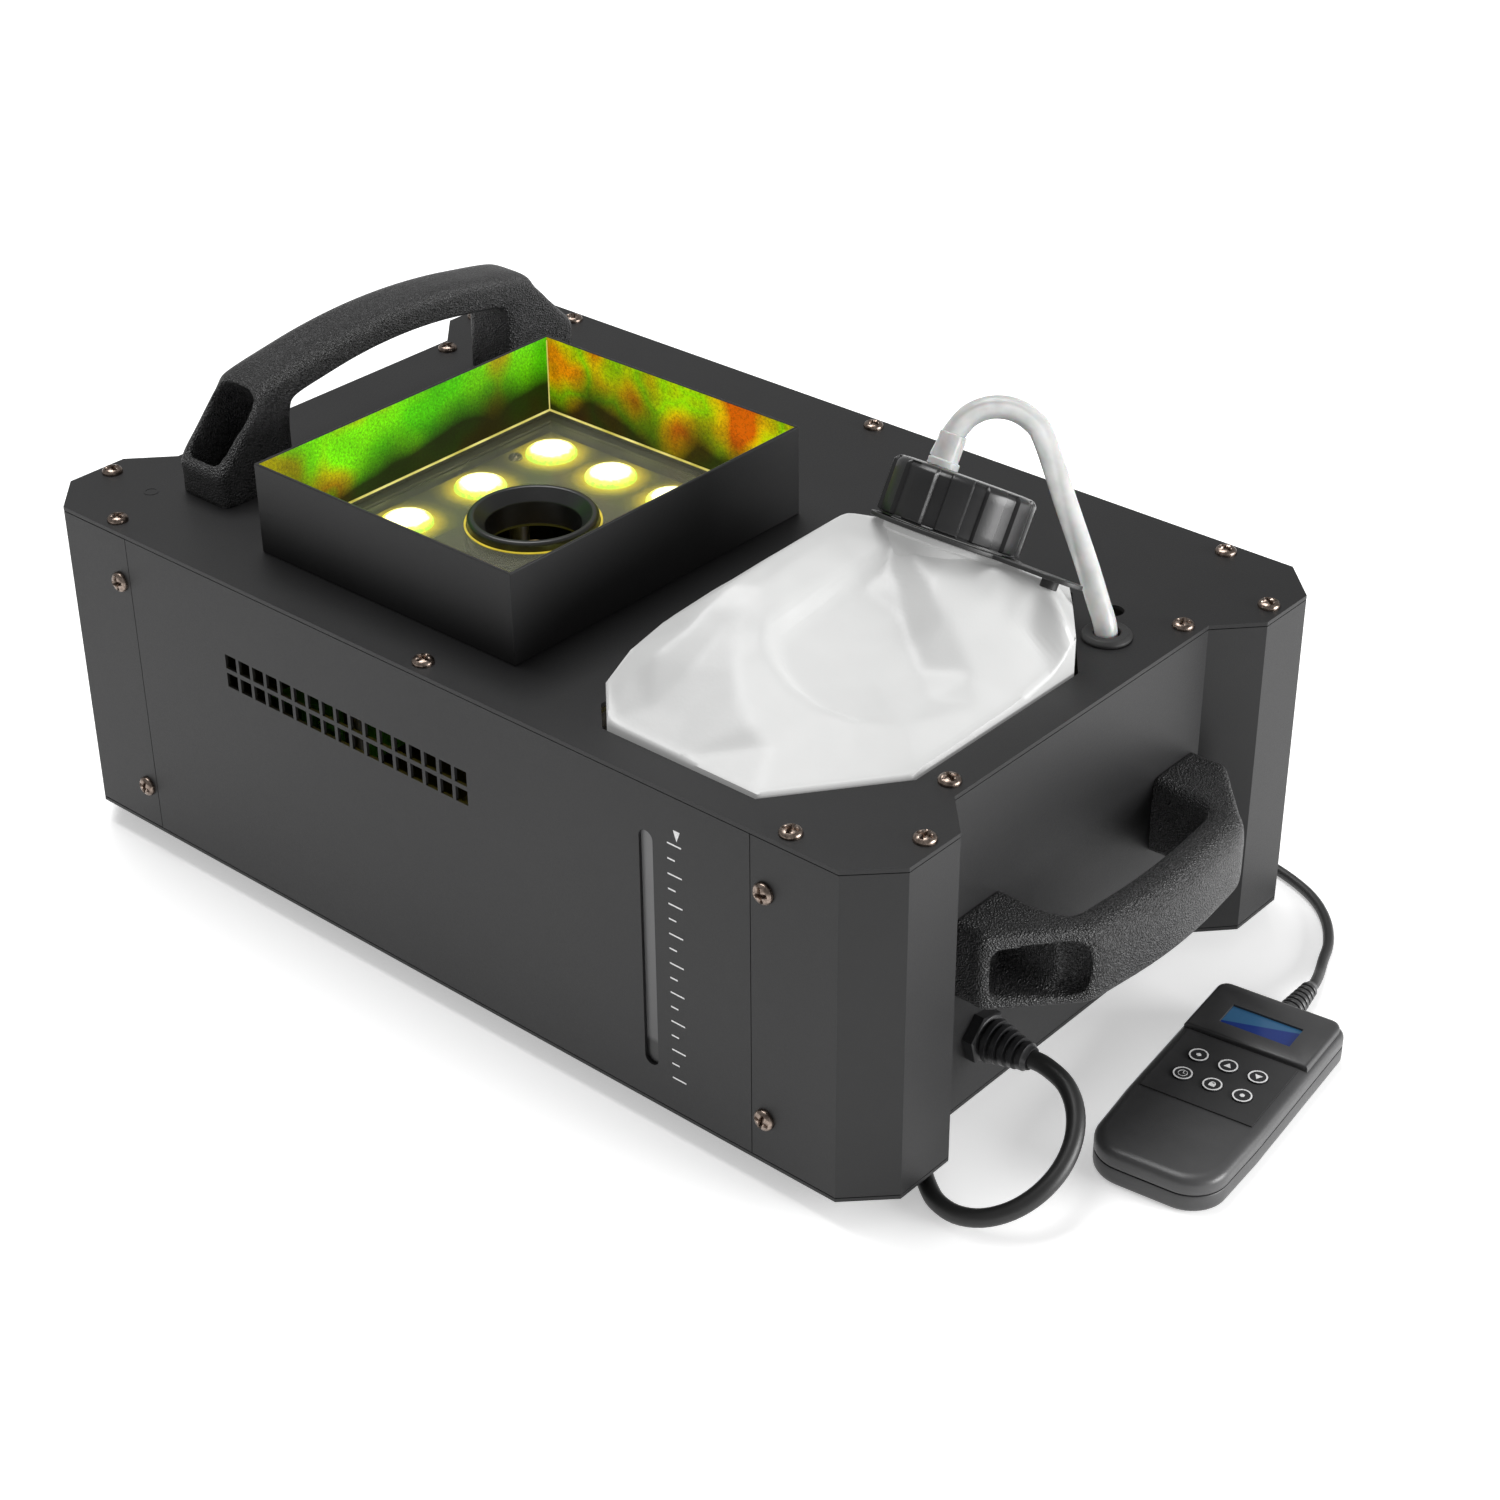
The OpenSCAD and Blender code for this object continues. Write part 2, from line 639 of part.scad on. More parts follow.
// Threaded ring of the cap, with ribs
module bottle_cap() {
  color("#18181a") place() at_neck() difference() {
    union() {
      translate([0, 0, 3.4]) cylinder(r = cap_d / 2 - 0.6, h = cap_h - 4.6);
      translate([0, 0, cap_h - 1.2]) cylinder(r1 = cap_d / 2 - 0.6, r2 = cap_d / 2 - 2, h = 1.2);
      for (a = [0 : 30 : 330]) rotate(a + 15) translate([cap_d / 2 - 1.6, -3, 3.8])
        cube([1.6, 6, cap_h - 5.8]);
    }
    translate([0, 0, 2]) cylinder(r = cap_skirt_r, h = cap_h - 4.4);
    translate([0, 0, 2]) cylinder(r = cap_lip_r, h = cap_h);
  }
}

// Loose disc under the cap's lip, which stays still while the ring is unscrewed
module cap_disc() {
  color("#1d1d1f") place() at_neck() difference() {
    union() {
      translate([0, 0, 18.8]) cylinder(r = 20.4, h = 2.3);
      translate([0, 0, 21]) cylinder(r = cap_lip_r - 0.5, h = cap_h - 21);
    }
    translate([fitting_x, 0, 10]) cylinder(r = 3.1, h = 20);
  }
}

// Flat ring under the cap with a tab and its stud
module cap_ring() {
  color("#161618") place() at_neck() translate([0, 0, 1.4]) difference() {
    union() {
      cylinder(r = 27, h = 1.6);
      translate([0, -9, 0]) cube([46, 18, 1.6]);
      translate([46, 0, 0]) cylinder(r = 9, h = 1.6);
      translate([44, 0, -3]) cylinder(r = 3, h = 3.1);
    }
    translate([0, 0, -1]) cylinder(r = neck_r + 0.3, h = 5);
  }
}

module hose_fitting() {
  color("#e8ecec", 0.6) place() at_neck() translate([fitting_x, 0, 0]) difference() {
    union() {
      translate([0, 0, 18.2]) cylinder(r = 3, h = 10);
      translate([0, 0, cap_h]) cylinder(r = 5.6, h = 2.6);
      translate([0, 0, cap_h + 2.6]) cylinder(r = 4.8, h = fitting_top - cap_h - 2.6);
    }
    translate([0, 0, 10]) cylinder(r = 1.8, h = 40);
  }
}

module fluid_hose() {
  color("#eef2f0", 0.7) place() tube(hose_route, hose_d / 2, 10, 2, [0.06, -1, 0]);
}

module pickup_tube() {
  color("#e9eceb", 0.8) place() at_neck() translate([fitting_x, 0, -128]) {
    difference() {
      cylinder(r = 4, h = 146);
      translate([0, 0, -1]) cylinder(r = 2.6, h = 148);
    }
    translate([0, 0, -8]) cylinder(r = 5.5, h = 8);
  }
}

module hose_grommet() {
  color("#101010") place() translate([grommet_at[0], grommet_at[1], top_z]) rotate_extrude()
    polygon([[4.6, -4.5], [8, -4.5], [8, -1.6], [6.4, -1.6], [6.4, 0.1], [8.8, 0.1], [8.8, 1.2], [7.6, 2.4],
      [5, 2.4], [4.6, 1.8]]);
}

module control_board() {
  color("#2e6b3e") place() translate([-172, -70, base_z + floor_t]) {
    translate([0, 0, 8]) cube([58, 120, 1.6]);
    for (x = [5, 53], y = [5, 115]) translate([x, y, 0]) cylinder(r = 2.5, h = 8);
    translate([10, 12, 9.6]) cube([18, 30, 14]);
    translate([34, 14, 9.6]) cube([14, 14, 10]);
    for (y = [60, 76, 92]) translate([18, y, 9.6]) cylinder(r = 6, h = 20);
    translate([36, 50, 9.6]) cube([12, 50, 9]);
  }
}

module transformer() {
  color("#6d6d70") place() translate([-100, 62, base_z + floor_t]) {
    cube([58, 34, 3]);
    translate([4, 0, 3]) cube([50, 34, 34]);
    translate([12, -7, 8]) cube([34, 48, 24]);
  }
}

// Swing of the rocker between its two stable positions, half on each side
rocker_tilt = 8;
rocker_pivot_in = 5;

module rocker_frame() {
  l = rocker_hole[0];
  h = rocker_hole[1];
  color("#121212") place() translate([rocker_at[0], half_w, rocker_at[1]]) difference() {
    union() {
      translate([-l / 2 - 2.5, 0.05, -h / 2 - 2.5]) cube([l + 5, 2, h + 5]);
      translate([-l / 2 + 0.2, -20, -h / 2 + 0.2]) cube([l - 0.4, 20.2, h - 0.4]);
    }
    translate([-l / 2 + 2.5, -14, -h / 2 + 2.2]) cube([l - 5, 20, h - 4.4]);
  }
}

module power_rocker() {
  l = rocker_hole[0] - 6;
  h = rocker_hole[1] - 7;
  color("#a01818") place() translate([rocker_at[0], half_w - rocker_pivot_in, rocker_at[1]])
    rotate([-rocker_tilt, 0, 0]) rotate([90, 0, 90]) {
      translate([0, 0, -l / 2]) linear_extrude(l)
        polygon([[0, -h / 2 + 1], [6.4, -h / 2], [5.2, 0], [6.4, h / 2], [0, h / 2 - 1], [-4, 0]]);
      translate([0, 0, -l / 2 - 0.3]) cylinder(r = 1.5, h = l + 0.6);
    }
}

module remote_socket() {
  color("#2a2a2c") place() translate([socket_at[0], half_w, socket_at[1]]) rotate([-90, 0, 0]) difference() {
    union() {
      translate([-13, -13, 0.05]) cube([26, 26, 1.8]);
      translate([0, 0, -22]) cylinder(r = 10, h = 22.2);
    }
    translate([0, 0, -14]) cylinder(r = 7.8, h = 20);
  }
}

// Gland and tapered strain relief of the mains cord
module cable_gland() {
  wall_x = half_l - recess_d;
  color("#131313") place() translate([wall_x, gland_at[0], gland_at[1]]) rotate([0, 90, 0]) difference() {
    union() {
      translate([0, 0, -8]) cylinder(r = 6, h = 8.2);
      translate([0, 0, -8]) cylinder(r = 9, h = 3, $fn = 6);
      translate([0, 0, 0.05]) cylinder(r = 9.5, h = 4.5, $fn = 6);
      translate([0, 0, 4.5]) cylinder(r1 = 8, r2 = 4.6, h = gland_l - 4.5);
    }
    translate([0, 0, -10]) cylinder(r = mains_d / 2 + 0.1, h = 10 + gland_l - 0.5);
  }
}

module mains_cord() {
  color("#161616") place() {
    tube(mains_route, mains_d / 2, 10, 1, [0, 0, 1]);
    tube(mains_tail, mains_d / 2, 10, 1, [0, 0, 1]);
  }
}

module mains_coil() {
  color("#161616") place() translate([mains_coil_at[0], mains_coil_at[1], 0]) rotate_extrude()
    polygon([[mains_ring - mains_d, 0], [mains_ring + mains_d, 0], [mains_ring + mains_d, 3 * mains_d - 0.1],
      [mains_ring - mains_d, 3 * mains_d - 0.1]]);
}

// Two-pin plug with a round grip, lying on the floor
module mains_plug() {
  color("#171717") place() translate([-128, 219, 14]) rotate([0, 0, plug_turn]) rotate([0, 90, 0]) {
    cylinder(r1 = 4.4, r2 = 6, h = 18);
    translate([0, 0, 18]) cylinder(r1 = 9, r2 = 13.8, h = 12);
    translate([0, 0, 30]) cylinder(r = 13.8, h = 14);
    for (s = [-1, 1]) translate([0, s * 9.5, 44]) cylinder(r = 2.4, h = 19);
  }
}

// Plan of the remote: square top corners, a waist and big round lower corners
function remote_plan(i) = let (w = remote_w / 2 - i, l = remote_l / 2 - i) concat(
  arc([w - 4, l - 4], 4, 0, 90, 4), arc([-w + 4, l - 4], 4, 90, 180, 4),
  [[-w, -l + 34], [-w + 0.8, -l + 20]], arc([-w + 14, -l + 13], 13, 180, 270, 6),
  arc([w - 14, -l + 13], 13, 270, 360, 6), [[w - 0.8, -l + 20], [w, -l + 34]]);

module at_remote() {
  translate([remote_at[0], remote_at[1], 0]) rotate(remote_turn) children();
}

module remote_lower_shell() {
  color("#2a2a2c") place() at_remote() difference() {
    union() {
      linear_extrude(1) polygon(remote_plan(1));
      translate([0, 0, 1]) linear_extrude(remote_seam - 1) polygon(remote_plan(0));
    }
    translate([0, 0, shell_t]) linear_extrude(20) polygon(remote_plan(shell_t));
    translate([0, remote_l / 2, 6]) rotate([90, 0, 0]) cylinder(r = 3.2, h = 10, center = true);
  }
  color("#2a2a2c") place() at_remote() translate([0, remote_l / 2 + 0.1, 6]) rotate([-90, 0, 0])
    difference() {
      cylinder(r1 = 5, r2 = 3, h = remote_relief_l);
      translate([0, 0, -1]) cylinder(r = remote_d / 2 + 0.1, h = remote_relief_l + 0.5);
    }
}

// Raised part of the face around the screen
module screen_block(i, h) {
  linear_extrude(h) intersection() {
    polygon(remote_plan(i));
    translate([-40, screen_edge + i]) square([80, 60]);
  }
}

module remote_upper_shell() {
  color("#2a2a2c") place() at_remote() difference() {
    union() {
      translate([0, 0, remote_seam + 0.05]) linear_extrude(remote_face - remote_seam - 1)
        polygon(remote_plan(0));
      translate([0, 0, remote_face - 1]) linear_extrude(1) polygon(remote_plan(1));
      translate([0, 0, remote_face - 1]) screen_block(0.6, 1 + screen_rise);
    }
    translate([0, 0, remote_seam - 1]) linear_extrude(remote_face - remote_seam + 1 - shell_t)
      polygon(remote_plan(shell_t));
    translate([0, 0, remote_seam])
      screen_block(shell_t + 1, remote_face - remote_seam + screen_rise - shell_t);
    translate([-13.2, 28.3, remote_face - 2]) cube([26.4, 11.4, 8]);
    for (x = [-1 : 1], y = button_y)
      translate([x * button_x, y, remote_seam]) cylinder(r = button_r + 0.2, h = 20);
    translate([0, remote_l / 2, 6]) rotate([90, 0, 0]) cylinder(r = 3.2, h = 10, center = true);
  }
}

module remote_screen() {
  color("#2b6cb0") place() at_remote() translate([-13, 28.5, remote_face - 1.6]) cube([26, 11, 2.8]);
}

module remote_keypad() {
  color("#202022") place() at_remote() translate([0, 0, remote_face]) linear_extrude(0.5) difference() {
    translate([-20.5, -16]) square([41, 36]);
    for (x = [-1 : 1], y = button_y) translate([x * button_x, y]) circle(r = button_r + 0.2);
  }
}

// Round button with a flange that keeps it under the face
module button(x, y) {
  color("#262628") place() at_remote() translate([x, y, 0]) {
    translate([0, 0, remote_face - shell_t - 1]) cylinder(r = 4.3, h = 0.8);
    translate([0, 0, remote_face - shell_t - 0.3]) cylinder(r = button_r, h = shell_t + 1.3);
  }
}

module button_menu() { button(-button_x, button_y[0]); }
module button_up() { button(0, button_y[0]); }
module button_down() { button(button_x, button_y[0]); }
module button_timer() { button(-button_x, button_y[1]); }
module button_lock() { button(0, button_y[1]); }
module button_fog() { button(button_x, button_y[1]); }

module remote_cord() {
  color("#1c1c1e") place() {
    tube(remote_route, remote_d / 2, 8, 2, [0, 0, 1]);
    tube(remote_tail, remote_d / 2, 8, 2, [1, -0.1, 0.05]);
  }
}

module remote_coil() {
  color("#1c1c1e") place() translate([remote_coil_at[0], remote_coil_at[1], 0]) rotate_extrude()
    polygon([[remote_ring - 1.5 * remote_d, 0],
      [remote_ring + 1.5 * remote_d, 0],
      [remote_ring + 1.5 * remote_d, 4 * remote_d - 0.1],
      [remote_ring - 1.5 * remote_d, 4 * remote_d - 0.1]]);
}

// Round connector in the socket on the back
module remote_plug() {
  color("#1c1c1e") place() translate([socket_at[0], half_w, socket_at[1]]) rotate([-90, 0, 0]) {
    translate([0, 0, -12]) cylinder(r = 7.6, h = 14);
    translate([0, 0, 2]) cylinder(r = 8.6, h = 10);
    translate([0, 0, 12]) cylinder(r1 = 6, r2 = 2.8, h = 12);
  }
}

base_tray();
rubber_feet();
front_panel();
back_panel();
left_end_shell();
right_end_shell();
top_cover();
top_screws();
side_screws();
top_handle();
end_handle();
handle_screws();
light_hood();
acrylic_cover();
led_board();
led_lenses();
light_posts();
light_screws();
nozzle_collar();
nozzle();
heater_block();
heater_stand();
thermostat();
pump_body();
pump_coil();
pump_plunger();
pump_spring();
delivery_tube();
feed_tube();
bottle_cradle();
fluid_bottle();
bottle_cap();
cap_disc();
cap_ring();
hose_fitting();
fluid_hose();
pickup_tube();
hose_grommet();
control_board();
transformer();
rocker_frame();
power_rocker();
remote_socket();
cable_gland();
mains_cord();
mains_coil();
mains_plug();
remote_lower_shell();
remote_upper_shell();
remote_screen();
remote_keypad();
button_menu();
button_up();
button_down();
button_timer();
button_lock();
button_fog();
remote_cord();
remote_coil();
remote_plug();
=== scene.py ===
import bpy, bmesh, math
from mathutils import Vector, Matrix
from mathutils.bvhtree import BVHTree
from mathutils.geometry import delaunay_2d_cdt

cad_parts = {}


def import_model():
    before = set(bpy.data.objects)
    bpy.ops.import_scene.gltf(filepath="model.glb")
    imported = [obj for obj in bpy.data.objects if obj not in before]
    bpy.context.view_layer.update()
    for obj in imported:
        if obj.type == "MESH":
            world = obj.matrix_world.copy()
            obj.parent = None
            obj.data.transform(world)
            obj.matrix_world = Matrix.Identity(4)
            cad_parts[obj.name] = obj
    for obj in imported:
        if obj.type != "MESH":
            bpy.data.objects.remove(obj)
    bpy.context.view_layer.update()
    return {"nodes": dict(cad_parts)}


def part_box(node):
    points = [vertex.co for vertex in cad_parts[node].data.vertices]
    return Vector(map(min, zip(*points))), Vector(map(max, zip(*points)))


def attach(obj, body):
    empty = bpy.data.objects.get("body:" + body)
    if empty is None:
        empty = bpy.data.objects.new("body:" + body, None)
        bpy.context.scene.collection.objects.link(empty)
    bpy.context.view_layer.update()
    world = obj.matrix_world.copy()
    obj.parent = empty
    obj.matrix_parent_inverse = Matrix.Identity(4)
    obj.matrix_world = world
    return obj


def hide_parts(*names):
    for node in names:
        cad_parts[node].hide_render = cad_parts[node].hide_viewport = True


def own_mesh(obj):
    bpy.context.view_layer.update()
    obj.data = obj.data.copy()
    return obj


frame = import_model()

MM = 0.001
lo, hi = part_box("top_cover")
CX, CY = (lo[0] + hi[0]) / 2, (lo[1] + hi[1]) / 2
REMOTE_X, REMOTE_Y, REMOTE_TURN = 245.9, 1.7, 7


def P(x, y, z):
    """A point in millimetres from the housing's middle, in the row frame."""
    return Vector((CX + x * MM, CY + y * MM, z * MM))


def ease(t):
    """A smooth step from 0 to 1."""
    return t * t * (3 - 2 * t)


# ---------------------------------------------------------------- camera
AZIMUTH, ELEVATION, ROLL = 41.16, 31.64, -0.42
AWAY, ACROSS, RAISED = 1.124, 0.0299, 0.0403


def turn(az, el, roll):
    a, e, r = (math.radians(v) for v in (az, el, roll))
    back = Vector((math.sin(a) * math.cos(e), -math.cos(a) * math.cos(e), math.sin(e)))
    right = Vector((0, 0, 1)).cross(back).normalized()
    up = back.cross(right)
    return right * math.cos(r) + up * math.sin(r), up * math.cos(r) - right * math.sin(r), back


right, up, back = turn(AZIMUTH, ELEVATION, ROLL)
cam_data = bpy.data.cameras.new("camera")
cam = bpy.data.objects.new("camera", cam_data)
bpy.context.collection.objects.link(cam)
spot = P(0, 0, 0) + right * ACROSS + up * RAISED + back * AWAY
cam.matrix_world = Matrix((
    (right.x, up.x, back.x, spot.x), (right.y, up.y, back.y, spot.y),
    (right.z, up.z, back.z, spot.z), (0, 0, 0, 1)))
cam_data.sensor_width = 36
cam_data.lens = 69.98
cam_data.clip_start = 0.01
bpy.context.scene.camera = cam
bpy.context.scene.view_settings.view_transform = "Standard"


# ---------------------------------------------------------------- node materials
class Mat:
    def __init__(self, name, color, rough=0.5, metal=0.0, spec=0.5, **more):
        self.m = bpy.data.materials.new(name)
        self.m.use_nodes = True
        self.t = self.m.node_tree
        self.b = self.t.nodes["Principled BSDF"]
        self.b.inputs["Base Color"].default_value = (*color, 1)
        self.b.inputs["Roughness"].default_value = rough
        self.b.inputs["Metallic"].default_value = metal
        self.b.inputs["Specular IOR Level"].default_value = spec
        for k, v in more.items():
            self.b.inputs[k.replace("_", " ")].default_value = v

    def new(self, kind, **values):
        n = self.t.nodes.new(kind)
        for k, v in values.items():
            setattr(n, k, v)
        return n

    def link(self, a, b):
        self.t.links.new(a, b)

    def place(self, scale=(1, 1, 1)):
        c = self.new("ShaderNodeTexCoord")
        if scale == (1, 1, 1):
            return c.outputs["Object"]
        g = self.new("ShaderNodeMapping")
        g.inputs["Scale"].default_value = scale
        self.link(c.outputs["Object"], g.inputs["Vector"])
        return g.outputs["Vector"]

    def noise(self, scale, detail=2.0, rough=0.5, stretch=(1, 1, 1), warp=0.0):
        n = self.new("ShaderNodeTexNoise")
        self.link(self.place(stretch), n.inputs["Vector"])
        n.inputs["Scale"].default_value = scale
        n.inputs["Detail"].default_value = detail
        n.inputs["Roughness"].default_value = rough
        n.inputs["Distortion"].default_value = warp
        return n.outputs["Fac"]

    def cells(self, scale):
        n = self.new("ShaderNodeTexVoronoi")
        self.link(self.place(), n.inputs["Vector"])
        n.inputs["Scale"].default_value = scale
        return n.outputs["Distance"]

    def ramp(self, fac, stops):
        r = self.new("ShaderNodeValToRGB")
        e = r.color_ramp.elements
        while len(e) < len(stops):
            e.new(0.5)
        for k, (at, col) in enumerate(stops):
            e[k].position = at
            e[k].color = (*col, 1) if len(col) == 3 else col
        self.link(fac, r.inputs["Fac"])
        return r.outputs["Color"]

    def math(self, op, a, b=0.0, c=0.0):
        n = self.new("ShaderNodeMath", operation=op)
        for k, v in enumerate((a, b, c)):
            if isinstance(v, (int, float)):
                n.inputs[k].default_value = v
            else:
                self.link(v, n.inputs[k])
        return n.outputs["Value"]

    def mix(self, fac, a, b):
        n = self.new("ShaderNodeMix", data_type="RGBA")
        for k, v in ((0, fac), (6, a), (7, b)):
            if isinstance(v, (int, float)):
                n.inputs[k].default_value = v
            elif isinstance(v, tuple):
                n.inputs[k].default_value = (*v, 1)
            else:
                self.link(v, n.inputs[k])
        return n.outputs[2]

    def color(self, fac, stops):
        self.link(self.ramp(fac, stops), self.b.inputs["Base Color"])
        return self

    def roughness(self, fac, low, high):
        r = self.new("ShaderNodeMapRange")
        r.inputs["To Min"].default_value = low
        r.inputs["To Max"].default_value = high
        self.link(fac, r.inputs["Value"])
        self.link(r.outputs["Result"], self.b.inputs["Roughness"])
        return self

    def bump(self, height, strength=0.5, distance=0.0002):
        n = self.new("ShaderNodeBump")
        n.inputs["Strength"].default_value = strength
        n.inputs["Distance"].default_value = distance
        if self.b.inputs["Normal"].links:
            self.link(self.b.inputs["Normal"].links[0].from_socket, n.inputs["Normal"])
        self.link(height, n.inputs["Height"])
        self.link(n.outputs["Normal"], self.b.inputs["Normal"])
        return self


def powder(name, low, high, rough=0.5, grain=1.0):
    m = Mat(name, high, rough, spec=0.33)
    m.color(m.noise(9, 4, 0.6), [(0.3, low), (0.7, high)])
    m.roughness(m.noise(1600, 2, 0.6), rough - 0.07, rough + 0.09)
    m.bump(m.noise(2300, 3, 0.7), 0.32 * grain, 0.00012)
    m.bump(m.noise(60, 2, 0.5), 0.05, 0.0006)
    return m.m


def grained(name, low, high, rough=0.42, scale=1300, depth=0.7):
    """Black moulded plastic with a leather grain."""
    m = Mat(name, high, rough, spec=0.6)
    m.color(m.noise(scale * 0.8, 2, 0.8), [(0.42, low), (0.66, high)])
    m.bump(m.cells(scale), depth, 0.0008)
    m.bump(m.noise(scale * 2.2, 2, 0.6), 0.4, 0.0001)
    m.roughness(m.noise(scale, 2, 0.6), rough - 0.05, rough + 0.16)
    return m.m


def moulded(name, low, high, rough=0.4, grain=0.25, scale=2600, spec=0.5):
    m = Mat(name, high, rough, spec=spec)
    m.color(m.noise(30, 4, 0.6), [(0.3, low), (0.7, high)])
    m.roughness(m.noise(900, 3, 0.6), rough - 0.06, rough + 0.08)
    m.bump(m.noise(scale, 2, 0.6), grain, 0.0001)
    return m.m


def metal(name, low, high, rough=0.3, brushed=(1, 1, 1), bump=0.15):
    m = Mat(name, high, rough, 1.0)
    m.color(m.noise(700, 4, 0.6, brushed), [(0.3, low), (0.7, high)])
    m.roughness(m.noise(500, 3, 0.6, brushed), rough - 0.1, rough + 0.12)
    m.bump(m.noise(1500, 2, 0.5, brushed), bump, 0.0001)
    return m.m


M = {}
M["coat"] = powder("powder_coat", (0.0095, 0.0095, 0.0099), (0.0135, 0.0135, 0.0139), 0.45)
M["coat_dark"] = powder("base_coat", (0.009, 0.009, 0.0095), (0.014, 0.014, 0.0145), 0.45)
M["hood"] = powder("hood_coat", (0.008, 0.008, 0.0083), (0.012, 0.012, 0.0124), 0.45)
M["handle"] = grained("leather_grain", (0.002, 0.002, 0.0021), (0.046, 0.046, 0.047), 0.36, 1500, 1.0)
M["rubber"] = moulded("foot_rubber", (0.008, 0.008, 0.008), (0.014, 0.014, 0.014), 0.6, 0.3, 1500)
M["black"] = moulded("black_plastic", (0.010, 0.010, 0.011), (0.018, 0.018, 0.019), 0.32)
M["screw"] = metal("bronzed_screw", (0.10, 0.075, 0.062), (0.40, 0.32, 0.27), 0.26)
M["zinc"] = metal("zinc_plate", (0.45, 0.45, 0.46), (0.72, 0.72, 0.73), 0.32, (1, 1, 0.1))
M["alloy"] = metal("cast_alloy", (0.42, 0.42, 0.43), (0.62, 0.62, 0.63), 0.45, bump=0.4)
M["brass"] = metal("turned_brass", (0.42, 0.30, 0.14), (0.62, 0.46, 0.22), 0.3)
M["copper"] = metal("drawn_copper", (0.45, 0.22, 0.12), (0.68, 0.36, 0.22), 0.3)
M["nylon"] = moulded("pale_nylon", (0.55, 0.52, 0.44), (0.68, 0.65, 0.57), 0.45)
M["winding"] = moulded("taped_winding", (0.30, 0.09, 0.03), (0.48, 0.17, 0.06), 0.5, 0.6, 500)
M["board"] = moulded("green_board", (0.015, 0.08, 0.03), (0.03, 0.15, 0.05), 0.3)
M["cap"] = moulded("cap_plastic", (0.010, 0.010, 0.0105), (0.020, 0.020, 0.0205), 0.30, 0.3, 1800)
M["strap"] = moulded("strap_rubber", (0.012, 0.012, 0.012), (0.024, 0.024, 0.024), 0.45, 0.35, 1500)
M["cord"] = moulded("cord_sheath", (0.010, 0.010, 0.010), (0.020, 0.020, 0.020), 0.42, 0.3, 1700)
M["thin_cord"] = moulded("thin_cord_sheath", (0.022, 0.022, 0.022), (0.038, 0.038, 0.038), 0.45, 0.3, 1700)
M["remote"] = moulded("remote_shell", (0.040, 0.040, 0.041), (0.056, 0.056, 0.057), 0.36, 0.35, 2000)
M["pad"] = moulded("keypad_film", (0.024, 0.024, 0.0245), (0.033, 0.033, 0.034), 0.45, 0.2)
M["key"] = moulded("key_rubber", (0.018, 0.018, 0.020), (0.030, 0.030, 0.032), 0.4, 0.2)
M["red"] = moulded("red_rocker", (0.30, 0.012, 0.012), (0.45, 0.02, 0.02), 0.25, 0.1)
M["dark"] = moulded("dark_inside", (0.003, 0.003, 0.003), (0.006, 0.006, 0.006), 0.6)


def ink():
    m = Mat("white_print", (0.85, 0.85, 0.85), 0.5, spec=0.3)
    m.color(m.noise(2500, 2, 0.6), [(0.25, (0.62, 0.62, 0.62)), (0.6, (0.9, 0.9, 0.9))])
    return m.m


M["ink"] = ink()


def where(m):
    """X, Y and Z of the point, in millimetres from the housing's middle."""
    sep = m.new("ShaderNodeSeparateXYZ")
    m.link(m.place(), sep.inputs[0])
    x = m.math("MULTIPLY", m.math("SUBTRACT", sep.outputs[0], CX), 1000)
    y = m.math("MULTIPLY", m.math("SUBTRACT", sep.outputs[1], CY), 1000)
    return x, y, m.math("MULTIPLY", sep.outputs[2], 1000)


def glow(name, stops, seed, power=1.0):
    """Painted light on a wall: emitted coloured blobs as if lit from below, painted darker at the foot, with
    a fine sparkle.
    """
    m = Mat(name, (0.006, 0.006, 0.005), 0.7, spec=0.1)
    x, y, z = where(m)
    foot, fade, waver = 130.5, 17, 34
    tint = m.ramp(m.noise(34 + seed, 1.6, 0.45), stops)
    edge = m.math("SUBTRACT", z, m.math("MULTIPLY", m.noise(30 + seed, 0.5, 0.4), waver))
    lift = m.math("MULTIPLY", m.math("SUBTRACT", edge, foot), 1 / fade)
    lift = m.math("MINIMUM", m.math("MAXIMUM", lift, 0.03), 1.0)
    spark = m.math("ADD", m.math("MULTIPLY", m.noise(1000, 2, 0.9), 2.2), -0.1)
    # painted light: soft blobs of lamp light on the wall
    light_blobs = m.math("ADD", m.math("MULTIPLY", m.noise(26 + seed, 1.5, 0.5), 1.7), -0.1)
    lift = m.math("MULTIPLY", lift, m.math("MINIMUM", light_blobs, 1.0))
    m.link(m.mix(m.math("MULTIPLY", lift, spark), (0.006, 0.005, 0.001), tint), m.b.inputs["Emission Color"])
    m.b.inputs["Emission Strength"].default_value = power
    m.bump(m.noise(2300, 3, 0.7), 0.3, 0.0001)
    return m.m


M["glow_green"] = glow("lit_green", [
    (0.30, (0.08, 0.60, 0.0)), (0.46, (0.20, 0.82, 0.0)), (0.56, (0.46, 0.46, 0.0)),
    (0.66, (0.42, 0.22, 0.0)), (0.74, (0.10, 0.50, 0.0))], 0, 1.2)
M["glow_amber"] = glow("lit_amber", [
    (0.30, (0.55, 0.10, 0.0)), (0.40, (0.62, 0.44, 0.0)), (0.52, (0.26, 0.62, 0.0)),
    (0.60, (0.50, 0.46, 0.0)), (0.70, (0.62, 0.22, 0.0))], 7, 1.2)


def to_nearest(m, v, first, pitch):
    """Signed distance along one axis to the nearest light of a row."""
    part = m.math("FRACT", m.math("ADD", m.math("DIVIDE", m.math("SUBTRACT", v, first), pitch), 0.5))
    return m.math("MULTIPLY", m.math("SUBTRACT", part, 0.5), pitch)


